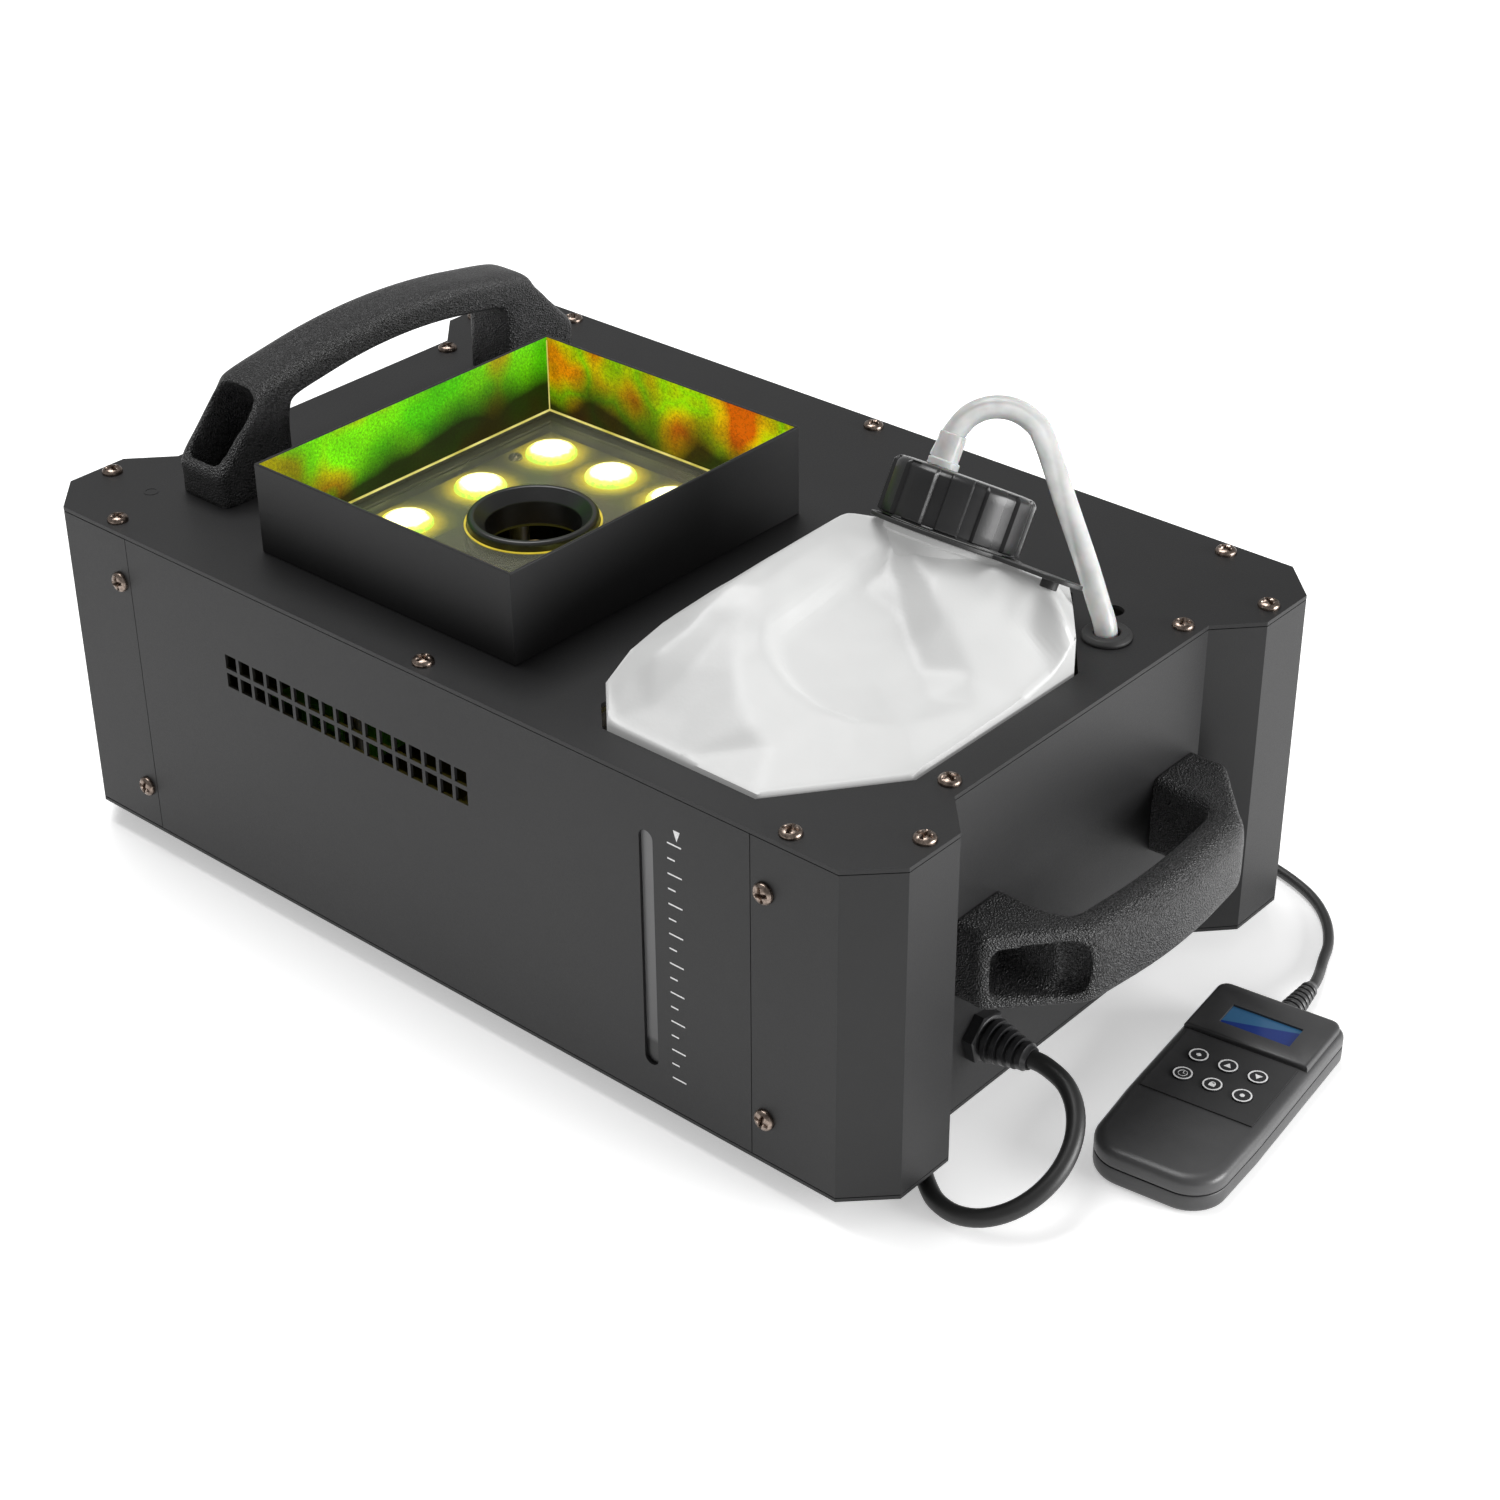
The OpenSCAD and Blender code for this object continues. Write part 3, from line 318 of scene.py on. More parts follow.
def lamp(name, ragged, stops, base, power):
    """Rings of colour round each light, from its distance to the nearest of a regular grid of lights: painted
    light on the board.
    """
    m = Mat(name, base, 0.4)
    x, y, z = where(m)
    dx, dy = to_nearest(m, x, -85, 31.33), to_nearest(m, y, -85.5, 38)
    r = m.math("SQRT", m.math("ADD", m.math("MULTIPLY", dx, dx), m.math("MULTIPLY", dy, dy)))
    r = m.math("ADD", r, m.math("MULTIPLY", m.math("SUBTRACT", m.noise(420, 3, 0.7), 0.5), ragged))
    tone = m.ramp(m.math("DIVIDE", r, 20), stops)
    inside = m.math("MULTIPLY", m.math("LESS_THAN", m.math("ABSOLUTE", m.math("ADD", x, 38)), 31),
                    m.math("LESS_THAN", m.math("ABSOLUTE", m.math("ADD", y, 28.5)), 38))
    m.link(m.mix(inside, tone, (0.012, 0.011, 0.001)), m.b.inputs["Emission Color"])
    m.b.inputs["Emission Strength"].default_value = power
    m.bump(m.noise(900, 2, 0.5), 0.1, 0.0001)
    return m.m


M["led_lit"] = lamp("lit_lens", 4.0, [(0.0, (1, 1, 0.9)), (0.35, (1, 0.98, 0.6)), (0.42, (0.62, 0.52, 0.01)),
                                      (0.50, (0.16, 0.34, 0.004))], (0.8, 0.8, 0.7), 3.6)
# painted light: the board glows round each LED, where their light falls on it
M["board_lit"] = lamp("lit_board", 3.0, [(0.40, (1.0, 0.80, 0.02)), (0.60, (0.42, 0.32, 0.004)),
                                         (0.78, (0.090, 0.080, 0.002)), (0.97, (0.018, 0.016, 0.001))],
                      (0.004, 0.004, 0.003), 1.4)


# Painted light: a thin part that glows in a noisy warm tone, as if it caught the lamps' light.
def lit_line(name, base, scale, stops):
    m = Mat(name, base, 0.3)
    m.link(m.ramp(m.noise(scale, 2, 0.5), stops), m.b.inputs["Emission Color"])
    m.b.inputs["Emission Strength"].default_value = 1.0
    return m.m


M["glow_line"] = lit_line("lit_edge", (0.3, 0.28, 0.1), 90,
                          [(0.3, (0.36, 0.30, 0.03)), (0.7, (0.75, 0.66, 0.22))])
M["glow_rim"] = lit_line("lit_rim", (0.3, 0.25, 0.05), 70,
                         [(0.35, (0.22, 0.16, 0.004)), (0.65, (0.55, 0.42, 0.02))])

m = Mat("level_window", (0.1, 0.1, 0.1), 0.35)
x, y, z = where(m)
m.link(m.ramp(m.math("DIVIDE", m.math("ADD", z, m.math("MULTIPLY", m.noise(60, 2, 0.5), 2)), 130),
              [(0.0, (0.006, 0.006, 0.006)), (0.275, (0.007, 0.007, 0.007)), (0.29, (0.085, 0.085, 0.086)),
               (0.95, (0.15, 0.15, 0.152))]), m.b.inputs["Base Color"])
m.roughness(m.noise(500, 2, 0.5), 0.3, 0.45)
M["level"] = m.m

m = Mat("blue_lcd", (0.02, 0.07, 0.20), 0.12, spec=0.6)
sep = m.new("ShaderNodeSeparateXYZ")
turn_in = m.new("ShaderNodeMapping", vector_type="TEXTURE")
turn_in.inputs["Location"].default_value = (CX + REMOTE_X * MM, CY + REMOTE_Y * MM, 0)
turn_in.inputs["Rotation"].default_value = (0, 0, math.radians(REMOTE_TURN))
m.link(m.place(), turn_in.inputs["Vector"])
m.link(turn_in.outputs["Vector"], sep.inputs[0])
slant = m.math("ADD", m.math("MULTIPLY", sep.outputs[0], 260), m.math("MULTIPLY", sep.outputs[1], -900))
tone = m.ramp(m.math("ADD", slant, 31.1), [(0.40, (0.030, 0.110, 0.22)), (0.60, (0.006, 0.022, 0.16))])
cell = m.noise(3200, 1, 0.5)
shade = m.mix(m.math("MULTIPLY", cell, 0.12), tone, (0.05, 0.14, 0.30))
m.link(shade, m.b.inputs["Base Color"])
m.link(shade, m.b.inputs["Emission Color"])
m.b.inputs["Emission Strength"].default_value = 0.12
M["lcd"] = m.m

m = Mat("translucent_bottle", (0.60, 0.605, 0.60), 0.34, spec=0.4)
m.b.inputs["Subsurface Weight"].default_value = 0.06
m.b.inputs["Subsurface Radius"].default_value = (0.6, 0.6, 0.6)
m.b.inputs["Subsurface Scale"].default_value = 0.004
m.color(m.noise(22, 3, 0.5), [(0.3, (0.405, 0.408, 0.405)), (0.7, (0.45, 0.452, 0.448))])
m.roughness(m.noise(400, 3, 0.6), 0.28, 0.42)
m.bump(m.noise(900, 3, 0.6), 0.12, 0.0002)
# painted light: a faint glow that lifts the bottle's shaded sides
m.b.inputs["Emission Color"].default_value = (1, 1, 0.99, 1)
m.b.inputs["Emission Strength"].default_value = 0.15
M["bottle"] = m.m

m = Mat("clear_hose", (0.80, 0.82, 0.81), 0.22, spec=0.5)
m.b.inputs["Transmission Weight"].default_value = 0.45
m.b.inputs["IOR"].default_value = 1.42
m.b.inputs["Subsurface Weight"].default_value = 0.3
m.b.inputs["Subsurface Scale"].default_value = 0.004
m.color(m.noise(160, 2, 0.5), [(0.3, (0.70, 0.72, 0.71)), (0.7, (0.88, 0.89, 0.885))])
m.bump(m.noise(500, 2, 0.5), 0.1, 0.0002)
M["hose"] = m.m

m = Mat("clear_acrylic", (0.75, 0.75, 0.62), 0.06, spec=0.3)
m.b.inputs["Transmission Weight"].default_value = 0.92
m.b.inputs["IOR"].default_value = 1.1
m.roughness(m.noise(300, 3, 0.6), 0.03, 0.12)
M["acrylic"] = m.m

M["screen_dark"] = moulded("screen_bezel", (0.004, 0.004, 0.006), (0.008, 0.008, 0.012), 0.15, 0.05)

for node, key in {
    "base_tray": "coat_dark", "rubber_feet": "rubber", "front_panel": "coat", "back_panel": "coat",
    "left_end_shell": "coat", "right_end_shell": "coat", "top_cover": "coat", "top_screws": "screw",
    "side_screws": "screw", "top_handle": "handle", "end_handle": "handle", "handle_screws": "zinc",
    "light_hood": "hood", "acrylic_cover": "acrylic", "led_board": "board_lit", "led_lenses": "nylon",
    "light_posts": "zinc", "light_screws": "screw", "nozzle_collar": "black", "nozzle": "brass",
    "heater_block": "alloy", "heater_stand": "zinc", "thermostat": "nylon", "pump_body": "nylon",
    "pump_coil": "winding", "pump_plunger": "zinc", "pump_spring": "zinc", "delivery_tube": "copper",
    "feed_tube": "hose", "bottle_cradle": "coat_dark", "fluid_bottle": "bottle", "bottle_cap": "cap",
    "cap_disc": "cap", "cap_ring": "strap", "hose_fitting": "hose", "fluid_hose": "hose",
    "pickup_tube": "hose", "hose_grommet": "rubber", "control_board": "board", "transformer": "zinc",
    "rocker_frame": "black", "power_rocker": "red", "remote_socket": "black", "cable_gland": "black",
    "mains_cord": "cord", "mains_coil": "cord", "mains_plug": "cord", "remote_lower_shell": "remote",
    "remote_upper_shell": "remote", "remote_screen": "screen_dark", "remote_keypad": "pad",
    "button_menu": "key", "button_up": "key", "button_down": "key", "button_timer": "key",
    "button_lock": "key", "button_fog": "key", "remote_cord": "thin_cord",
    "remote_coil": "thin_cord", "remote_plug": "cord",
}.items():
    o = frame["nodes"][node]
    if not o.material_slots:
        o.data.materials.append(M[key])
    for s in o.material_slots:
        s.material = M[key]


# ---------------------------------------------------------------- mesh helpers
def obj(name, data, mats, body="housing", smooth=35):
    o = bpy.data.objects.new(name, data)
    bpy.context.collection.objects.link(o)
    for k in mats if isinstance(mats, (list, tuple)) else [mats]:
        data.materials.append(M[k])
    if isinstance(data, bpy.types.Mesh):
        data.shade_smooth()
        if smooth:
            data.set_sharp_from_angle(angle=math.radians(smooth))
    if body:
        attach(o, body)
    return o


def from_bm(bm, name, mats, body="housing", smooth=35):
    bmesh.ops.recalc_face_normals(bm, faces=bm.faces)
    me = bpy.data.meshes.new(name)
    bm.to_mesh(me)
    bm.free()
    return obj(name, me, mats, body, smooth)


def bake(o):
    """Applies the modifiers of an object to its mesh."""
    dg = bpy.context.evaluated_depsgraph_get()
    me = bpy.data.meshes.new_from_object(o.evaluated_get(dg))
    old = o.data
    o.modifiers.clear()
    o.data = me
    me.name = old.name
    return o


def softened(node, name, mat, width, segments=2, body="housing"):
    """A copy of a CAD node with its sharp edges rounded."""
    bm = bmesh.new()
    bm.from_mesh(frame["nodes"][node].data)
    bmesh.ops.remove_doubles(bm, verts=bm.verts, dist=0.02 * MM)
    bmesh.ops.dissolve_limit(bm, angle_limit=math.radians(0.6), verts=bm.verts, edges=bm.edges)
    o = from_bm(bm, name, mat, body, None)
    b = o.modifiers.new("round", "BEVEL")
    b.width = width * MM
    b.segments = segments
    b.limit_method = "ANGLE"
    b.angle_limit = math.radians(30)
    b.use_clamp_overlap = True
    o.data.shade_smooth()
    w = o.modifiers.new("normals", "WEIGHTED_NORMAL")
    w.weight = 90
    bake(o)
    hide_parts(node)
    return o


def skin(bm, rows):
    """Adds the faces between rings of vertices, each ring closed on itself."""
    n = len(rows[0])
    for a, b in zip(rows, rows[1:]):
        for k in range(n):
            bm.faces.new((a[k], a[(k + 1) % n], b[(k + 1) % n], b[k]))


def loft(rings, name, mat, body="housing", smooth=40):
    """A solid through rings of points, with both ends capped."""
    bm = bmesh.new()
    rows = [[bm.verts.new(p) for p in ring] for ring in rings]
    skin(bm, rows)
    bm.faces.new(rows[0][::-1])
    bm.faces.new(rows[-1])
    return from_bm(bm, name, mat, body, smooth)


def turned(profile, centre, axis, name, mat, body="housing", n=64, smooth=40, lobes=None):
    """A closed profile of (radius, height) in millimetres, turned about an axis."""
    axis = Vector(axis).normalized()
    side = axis.orthogonal().normalized()
    if abs(axis.x) < 0.9:
        side = (Vector((1, 0, 0)) - axis * axis.x).normalized()
    other = axis.cross(side)
    bm = bmesh.new()
    rows = []
    for k in range(n):
        t = 2 * math.pi * k / n
        row = []
        for r, h in profile:
            if lobes:
                r = lobes(r, h, t)
            out = side * math.cos(t) + other * math.sin(t)
            row.append(bm.verts.new(centre + out * r * MM + axis * h * MM))
        rows.append(row)
    q = len(profile)
    for k in range(n):
        a, b = rows[k], rows[(k + 1) % n]
        for j in range(q):
            bm.faces.new((a[j], b[j], b[(j + 1) % q], a[(j + 1) % q]))
    bmesh.ops.remove_doubles(bm, verts=bm.verts, dist=1e-6)
    return from_bm(bm, name, mat, body, smooth)


def curve(points, u):
    """A smooth curve through the points: a whole number u is at point u."""
    k = min(int(u), len(points) - 2)
    t = u - k
    a, b = points[max(k - 1, 0)], points[k]
    c, d = points[k + 1], points[min(k + 2, len(points) - 1)]
    return 0.5 * (2 * b + (c - a) * t + (2 * a - 5 * b + 4 * c - d) * t ** 2
                  + (3 * b - a - 3 * c + d) * t ** 3)


def through(points, per):
    n = (len(points) - 1) * per
    return [curve(points, k / per) for k in range(n + 1)]


def cable(points, name, mat, radius, body="housing", sides=16):
    """A mesh tube along a list of points."""
    rings = []
    u = None
    for k, p in enumerate(points):
        t = (points[min(k + 1, len(points) - 1)] - points[max(k - 1, 0)]).normalized()
        if u is None:
            u = t.orthogonal().normalized()
        u = (u - t * u.dot(t)).normalized()
        v = t.cross(u)
        rings.append([p + (u * math.cos(2 * math.pi * s / sides) + v * math.sin(2 * math.pi * s / sides))
                      * radius for s in range(sides)])
    return loft(rings, name, mat, body, smooth=60)


def join(parts, name):
    """Joins mesh objects into the first of them."""
    bm = bmesh.new()
    for p in parts:
        bm.from_mesh(p.data)
    first = parts[0]
    mats = [s.material for s in first.material_slots]
    me = bpy.data.meshes.new(name)
    bm.to_mesh(me)
    bm.free()
    for mt in mats:
        me.materials.append(mt)
    first.data = me
    first.name = name
    me.shade_smooth()
    me.set_sharp_from_angle(angle=math.radians(40))
    for p in parts[1:]:
        bpy.data.objects.remove(p)
    return first


# ---------------------------------------------------------------- cords
def V(points):
    return [P(*p) for p in points]


def wound(centre, turns, start, radii, heights, step=15):
    """Centreline of a coil: each turn has its own radius and height, with a short crossing between them."""
    out = []
    n = int(round(turns * 360 / step))
    for k in range(n + 1):
        a = k * step
        j = min(int(a // 360), len(radii) - 1)
        f = (a - 360 * j) / 360
        r, h = radii[j], heights[j]
        if j + 1 < len(radii) and f > 0.86:
            w = ease((f - 0.86) / 0.14)
            r += (radii[j + 1] - r) * w
            h += (heights[j + 1] - h) * w
        t = math.radians(start + a)
        out.append(P(centre[0] + r * math.cos(t), centre[1] + r * math.sin(t), h))
    return out


MAINS_D = 6.4
mains_points = V([
    (208, -53, 36.4), (214, -53, 36.2), (223, -54.8, 34.5), (230.6, -59.9, 31), (235.7, -67.5, 26.2),
    (237.5, -76.5, 20.8), (235.7, -85.5, 15.4), (230.6, -93, 10.4), (223, -98.2, 6.6),
    (214, -100, 4.3), (205, -98.2, 3.4), (198, -94, 3.3), (190, -87.4, 3.3), (180, -79, 3.3),
    (160, -63, 3.3), (130, -42, 3.3), (95, -18, 3.3), (60, 8, 3.3), (25, 38, 3.3), (-5, 70, 3.3),
    (-28, 104, 3.3), (-41, 140, 3.3), (-46, 165, 3.3), (-46.8, 184, 3.3)])
coil = wound((-86, 184), 6.25, 0, [39.2, 32.8, 32.8, 39.2, 32.8, 39.2, 39.2],
             [3.3, 3.3, 9.6, 9.6, 15.9, 15.9, 15.9])
tail = V([(-86, 223.2, 16), (-100, 223, 15), (-114, 221.5, 14), (-128, 219, 14)])
mains_path = through(mains_points, 4) + coil[1:] + through(tail, 4)[2:]
mains = cable(mains_path, "mains_lead", "cord", MAINS_D / 2 * MM)
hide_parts("mains_cord", "mains_coil")

REMOTE_D = 4.0
remote_points = V([
    (237.2, 73.5, 6), (236.4, 79.5, 5.7), (234.5, 85.5, 4.5), (231.9, 92, 3), (228.7, 99.5, 2.3),
    (224.5, 110, 2.1), (217, 121, 2.1), (207, 130, 2.1), (195, 136, 2.1), (180, 140, 2.1),
    (160, 142, 2.1), (140, 143, 2.1),
    (120, 144.5, 2.1), (100, 147, 2.1), (84, 149.5, 2.1), (70, 150, 2.1)])
coil_r = [26, 22, 18, 18, 22, 26, 26, 22, 18, 18, 22, 26, 26]
coil_z = [2.1, 2.1, 2.1, 6, 6, 6, 10, 10, 10, 13.9, 13.9, 13.9, 13.9]
middle_x = 70
coil = wound((middle_x, 176), 12.25, -90, coil_r, coil_z)
# mirrored, so that it winds the other way
coil = [P(2 * middle_x - (p.x - CX) / MM, (p.y - CY) / MM, p.z / MM) for p in coil]
tail = V([(42, 185, 13.2), (37, 193, 11.2), (29.5, 196.5, 8.5), (21, 193, 6), (14.5, 184.5, 4.6),
          (10, 175, 5.8), (6, 167, 11), (3, 161, 20), (2, 158, 30), (2, 155, 39), (2, 150, 45)])
remote_path = through(remote_points, 4) + coil[1:] + through([coil[-9], coil[-5], coil[-1]] + tail, 4)[9:]
lead = cable(remote_path, "remote_lead", "thin_cord", REMOTE_D / 2 * MM, sides=12)
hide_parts("remote_cord", "remote_coil")

HOSE_D, HOSE_BEND = 8, 17
RISING, CROSSING = Vector((0.232, 0.446, 0.865)), Vector((0.870, 0.303, -0.389))
bend = V([(101, 36.8, 196.8)])
for k in range(1, 6):
    t = math.radians(25.8 * k)
    bend.append(bend[0] + (RISING * math.sin(t) + CROSSING * (1 - math.cos(t))) * HOSE_BEND * MM)
hose_points = V([(98.7, 32.3, 188.1), (99.8, 34.6, 192.5)]) + bend + V([
    (140, 48.1, 179), (152, 45.2, 160.6), (158.8, 43.2, 149.6), (163, 42.2, 142), (164, 42, 134.5),
    (164, 42, 125), (164, 42, 112), (164, 42, 60), (164, 42, 24)])
hose_path = through(hose_points, 6)
hose = cable(hose_path, "clear_fluid_hose", "hose", HOSE_D / 2 * MM, "bottle", sides=20)
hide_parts("fluid_hose")


# ---------------------------------------------------------------- small builders
def box_in(bm, a, b, at=P):
    """Adds a box between two corners, given in millimetres."""
    v = [bm.verts.new(at(x, y, z)) for z in (a[2], b[2]) for x, y in
         ((a[0], a[1]), (b[0], a[1]), (b[0], b[1]), (a[0], b[1]))]
    for f in ((3, 2, 1, 0), (4, 5, 6, 7), (0, 1, 5, 4), (1, 2, 6, 5), (2, 3, 7, 6), (3, 0, 4, 7)):
        bm.faces.new([v[k] for k in f])


def boxes(name, mat, pairs, at=P):
    bm = bmesh.new()
    for a, b in pairs:
        box_in(bm, a, b, at)
    return from_bm(bm, name, mat, smooth=30)


def plate(bm, outline, z, t, at=P):
    """Adds a flat plate with the given outline."""
    low = [bm.verts.new(at(x, y, z)) for x, y in outline]
    top = [bm.verts.new(at(x, y, z + t)) for x, y in outline]
    n = len(outline)
    bm.faces.new(low[::-1])
    bm.faces.new(top)
    for k in range(n):
        bm.faces.new((low[k], low[(k + 1) % n], top[(k + 1) % n], top[k]))


def cut(o, cutter):
    m = o.modifiers.new("cut", "BOOLEAN")
    m.operation, m.object, m.solver = "DIFFERENCE", cutter, "EXACT"
    bake(o)
    bpy.data.objects.remove(cutter)
    return o


def pan_head(bm, centre, axis, r, h, spin=0.3):
    """A cross-head screw: a domed head with a four-way recess."""
    axis = Vector(axis)
    side = axis.orthogonal().normalized()
    other = axis.cross(side)
    n = 40
    rings = [(1.0, 0.0), (1.0, 0.32), (0.95, 0.55), (0.86, 0.72), (0.74, 0.86), (0.62, 0.93), (0.52, 0.97),
             (0.42, 0.99), (0.32, 1.0), (0.22, 1.0), (0.12, 1.0)]
    rows = []
    for q, z in rings:
        row = []
        for k in range(n):
            t = 2 * math.pi * k / n
            x, y = q * math.cos(t), q * math.sin(t)
            near = min(abs(x), abs(y))
            sink = 0.0
            if q < 0.66:
                sink = 0.75 * max(0.0, min(1.0, (0.17 - near) / 0.06)) * min(1.0, (0.66 - q) / 0.08)
                sink = max(sink, 0.75 if q < 0.2 else 0)
            s, c = math.sin(t + spin), math.cos(t + spin)
            row.append(bm.verts.new(centre + ((side * c + other * s) * q * r + axis * (z - sink) * h) * MM))
        rows.append(row)
    skin(bm, rows)
    bm.faces.new(rows[-1])


# ---------------------------------------------------------------- sheet housing
softened("left_end_shell", "left_end_sheet", "coat", 0.5, 2)
softened("right_end_shell", "right_end_sheet", "coat", 0.5, 2)
softened("top_cover", "top_sheet", "coat", 0.7, 2)
softened("light_hood", "hood_sheet", "hood", 0.35, 2)
softened("rubber_feet", "feet_soft", "rubber", 0.8, 3)
softened("hose_grommet", "grommet_soft", "rubber", 0.4, 3)
softened("cap_ring", "cap_strap", "strap", 0.35, 2, body="bottle")
softened("nozzle_collar", "collar_soft", "black", 0.4, 3)
softened("hose_fitting", "fitting_soft", "hose", 0.5, 3, body="bottle")
softened("base_tray", "tray_sheet", "coat_dark", 0.3, 1)

bm = bmesh.new()
for sx in (-1, 1):
    for sy in (-1, 1):
        for k, (x, y) in enumerate(((194, 96), (179.5, 65), (161, 119.8))):
            pan_head(bm, P(sx * x, sy * y, 138), (0, 0, 1), 3.9, 2.2, 0.4 + 0.9 * k + sx + 2 * sy)
for sy in (-1, 1):
    pan_head(bm, P(0, sy * 119.8, 138), (0, 0, 1), 3.9, 2.2, 0.7 * sy)
o = from_bm(bm, "cover_screws", "screw", smooth=50)
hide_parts("top_screws")
bm = bmesh.new()
for sx in (-1, 1):
    for z in (28.5, 117):
        pan_head(bm, P(sx * 155.5, -126.05, z), (0, -1, 0), 3.9, 2.2, 0.3 + z)
        pan_head(bm, P(sx * 155.5, 126.05, z), (0, 1, 0), 3.9, 2.2, 0.8 + z)
o = from_bm(bm, "end_shell_screws", "screw", smooth=50)
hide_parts("side_screws")
bm = bmesh.new()
for x in (-93, 17):
    for y in (-74, 17):
        pan_head(bm, P(x, y, 132.6), (0, 0, 1), 2.8, 1.6, x)
o = from_bm(bm, "board_screws", "screw", smooth=50)
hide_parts("light_screws")

WALL = P(186, -53, 36.4)
nut = turned([(3.4, 0.05), (9.5, 0.05), (9.5, 4.0), (9.0, 4.5), (3.4, 4.5)], WALL, (1, 0, 0),
             "gland", "black", n=6, smooth=30)
boot = [(3.35, 4.5), (8.2, 4.5)]
for k in range(5):
    x, r = 5.2 + k * 3.1, 7.9 - k * 0.68
    boot += [(r - 1.3, x), (r - 1.3, x + 0.9), (r, x + 1.2), (r - 0.15, x + 2.8)]
boot += [(4.4, 21), (4.0, 22), (3.35, 22)]
join([nut, turned(boot, WALL, (1, 0, 0), "boot", "black", n=48, smooth=30)], "gland_and_boot")
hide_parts("cable_gland")

# Fluid scale beside the window: long and short marks, and a pointer at the top one
front_y = (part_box("front_panel")[0][1] - CY) / MM
bm = bmesh.new()
for k in range(17):
    z = 118.5 - k * 93.1 / 16
    box_in(bm, (115.3, front_y - 0.05, z - 0.27), (121.3 if k % 2 == 0 else 118.5, front_y + 0.02, z + 0.27))
tri = [(118.0, 124.2), (120.8, 124.2), (119.4, 120.2)]
v = [bm.verts.new(P(x, front_y - 0.05, z)) for x, z in tri]
w = [bm.verts.new(P(x, front_y + 0.02, z)) for x, z in tri]
bm.faces.new(v)
bm.faces.new(w[::-1])
for k in range(3):
    bm.faces.new((v[k], w[k], w[(k + 1) % 3], v[(k + 1) % 3]))
from_bm(bm, "fluid_scale", "ink")
boxes("level_window", "level", [((101.5, front_y + 1.25, 20), (110.5, front_y + 1.6, 125))])
turned([(2.2, 0), (2.9, 0), (2.9, 0.12), (2.2, 0.12)], P(-170, -97, 138), (0, 0, 1),
       "earth_mark", "coat_dark", n=40)

# ---------------------------------------------------------------- light well
# painted light: thin glowing sheets on the hood's inner walls, standing in for the lamps' light on them
walls = [("left", "glow_green", (-100.3, -100.7, 142.4), (-100.12, 43.7, 172.7)),
         ("back", "glow_amber", (-100.2, 43.62, 142.4), (24.2, 43.8, 172.7)),
         ("right", "glow_amber", (24.12, -100.7, 142.4), (24.3, 43.7, 172.7)),
         ("front", "glow_green", (-100.2, -100.8, 142.4), (24.2, -100.62, 172.7))]
for side, mat, a, b in walls:
    boxes("lit_wall_" + side, mat, [(a, b)])
# painted light: glowing lines in the well's corners, along the acrylic's edge and round the collar
boxes("lit_corner_lines", "glow_line", [
    ((-100.12, 43.3, 142.6), (-99.8, 43.62, 171.5)), ((23.8, 43.3, 142.6), (24.12, 43.62, 171.5)),
    ((-100.12, -100.62, 142.6), (-99.8, -100.3, 171.5)), ((23.8, -100.62, 142.6), (24.12, -100.3, 171.5))])
boxes("acrylic_edge_glow", "glow_line", [
    ((-100.1, -100.6, 142.35), (-99.2, 43.6, 142.75)), ((23.2, -100.6, 142.35), (24.1, 43.6, 142.75)),
    ((-99.2, 42.7, 142.35), (23.2, 43.6, 142.75)), ((-99.2, -100.6, 142.35), (23.2, -99.7, 142.75))])
turned([(24.35, 0), (25.1, 0), (25.1, 0.35), (24.35, 0.35)], P(-38, -28.5, 142.3), (0, 0, 1),
       "collar_glow_ring", "glow_rim", n=96)

leds = [(x, y) for x in (-85, -53.7, -22.3, 9) for y in (-85.5, -47.5, -9.5, 28.5)
        if x in (-85, 9) or y in (-85.5, 28.5)]
bm = bmesh.new()
for x, y in leds:
    rows = []
    for q, z in ((10, 0), (10, 0.8), (9.5, 1.7), (8.4, 2.4), (6.6, 2.9), (4.5, 3.15), (2, 3.25)):
        row = []
        for k in range(36):
            t = k * math.pi / 18
            row.append(bm.verts.new(P(x + q * math.cos(t), y + q * math.sin(t), 132.6 + z)))
        rows.append(row)
    skin(bm, rows)
    bm.faces.new(rows[-1])
    bm.faces.new(rows[0][::-1])
o = from_bm(bm, "lit_lenses", "led_lit", smooth=60)
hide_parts("led_lenses")


# ---------------------------------------------------------------- pump spring
lo, hi = (Vector(v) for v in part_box("pump_spring"))
mid, tall = (lo + hi) / 2, hi.z - lo.z - MM
SPRING_R, SPRING_TURNS, PER_TURN = 4.85 * MM, 7, 16
helix = []
for k in range(SPRING_TURNS * PER_TURN + 1):
    a, t = 2 * math.pi * k / PER_TURN, k / (SPRING_TURNS * PER_TURN)
    climb = min(1.0, max(0.0, (t - 0.1) / 0.8))
    helix.append(Vector((mid.x + SPRING_R * math.cos(a), mid.y + SPRING_R * math.sin(a),
                         lo.z + 0.5 * MM + tall * climb)))
spring = cable(helix, "return_spring", "zinc", 0.45 * MM, sides=8)
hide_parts("pump_spring")
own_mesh(spring)


# ---------------------------------------------------------------- moulded handles
def bowed(v, e):
    """The power e of v with the sign of v kept."""
    return math.copysign(abs(v) ** e, v)


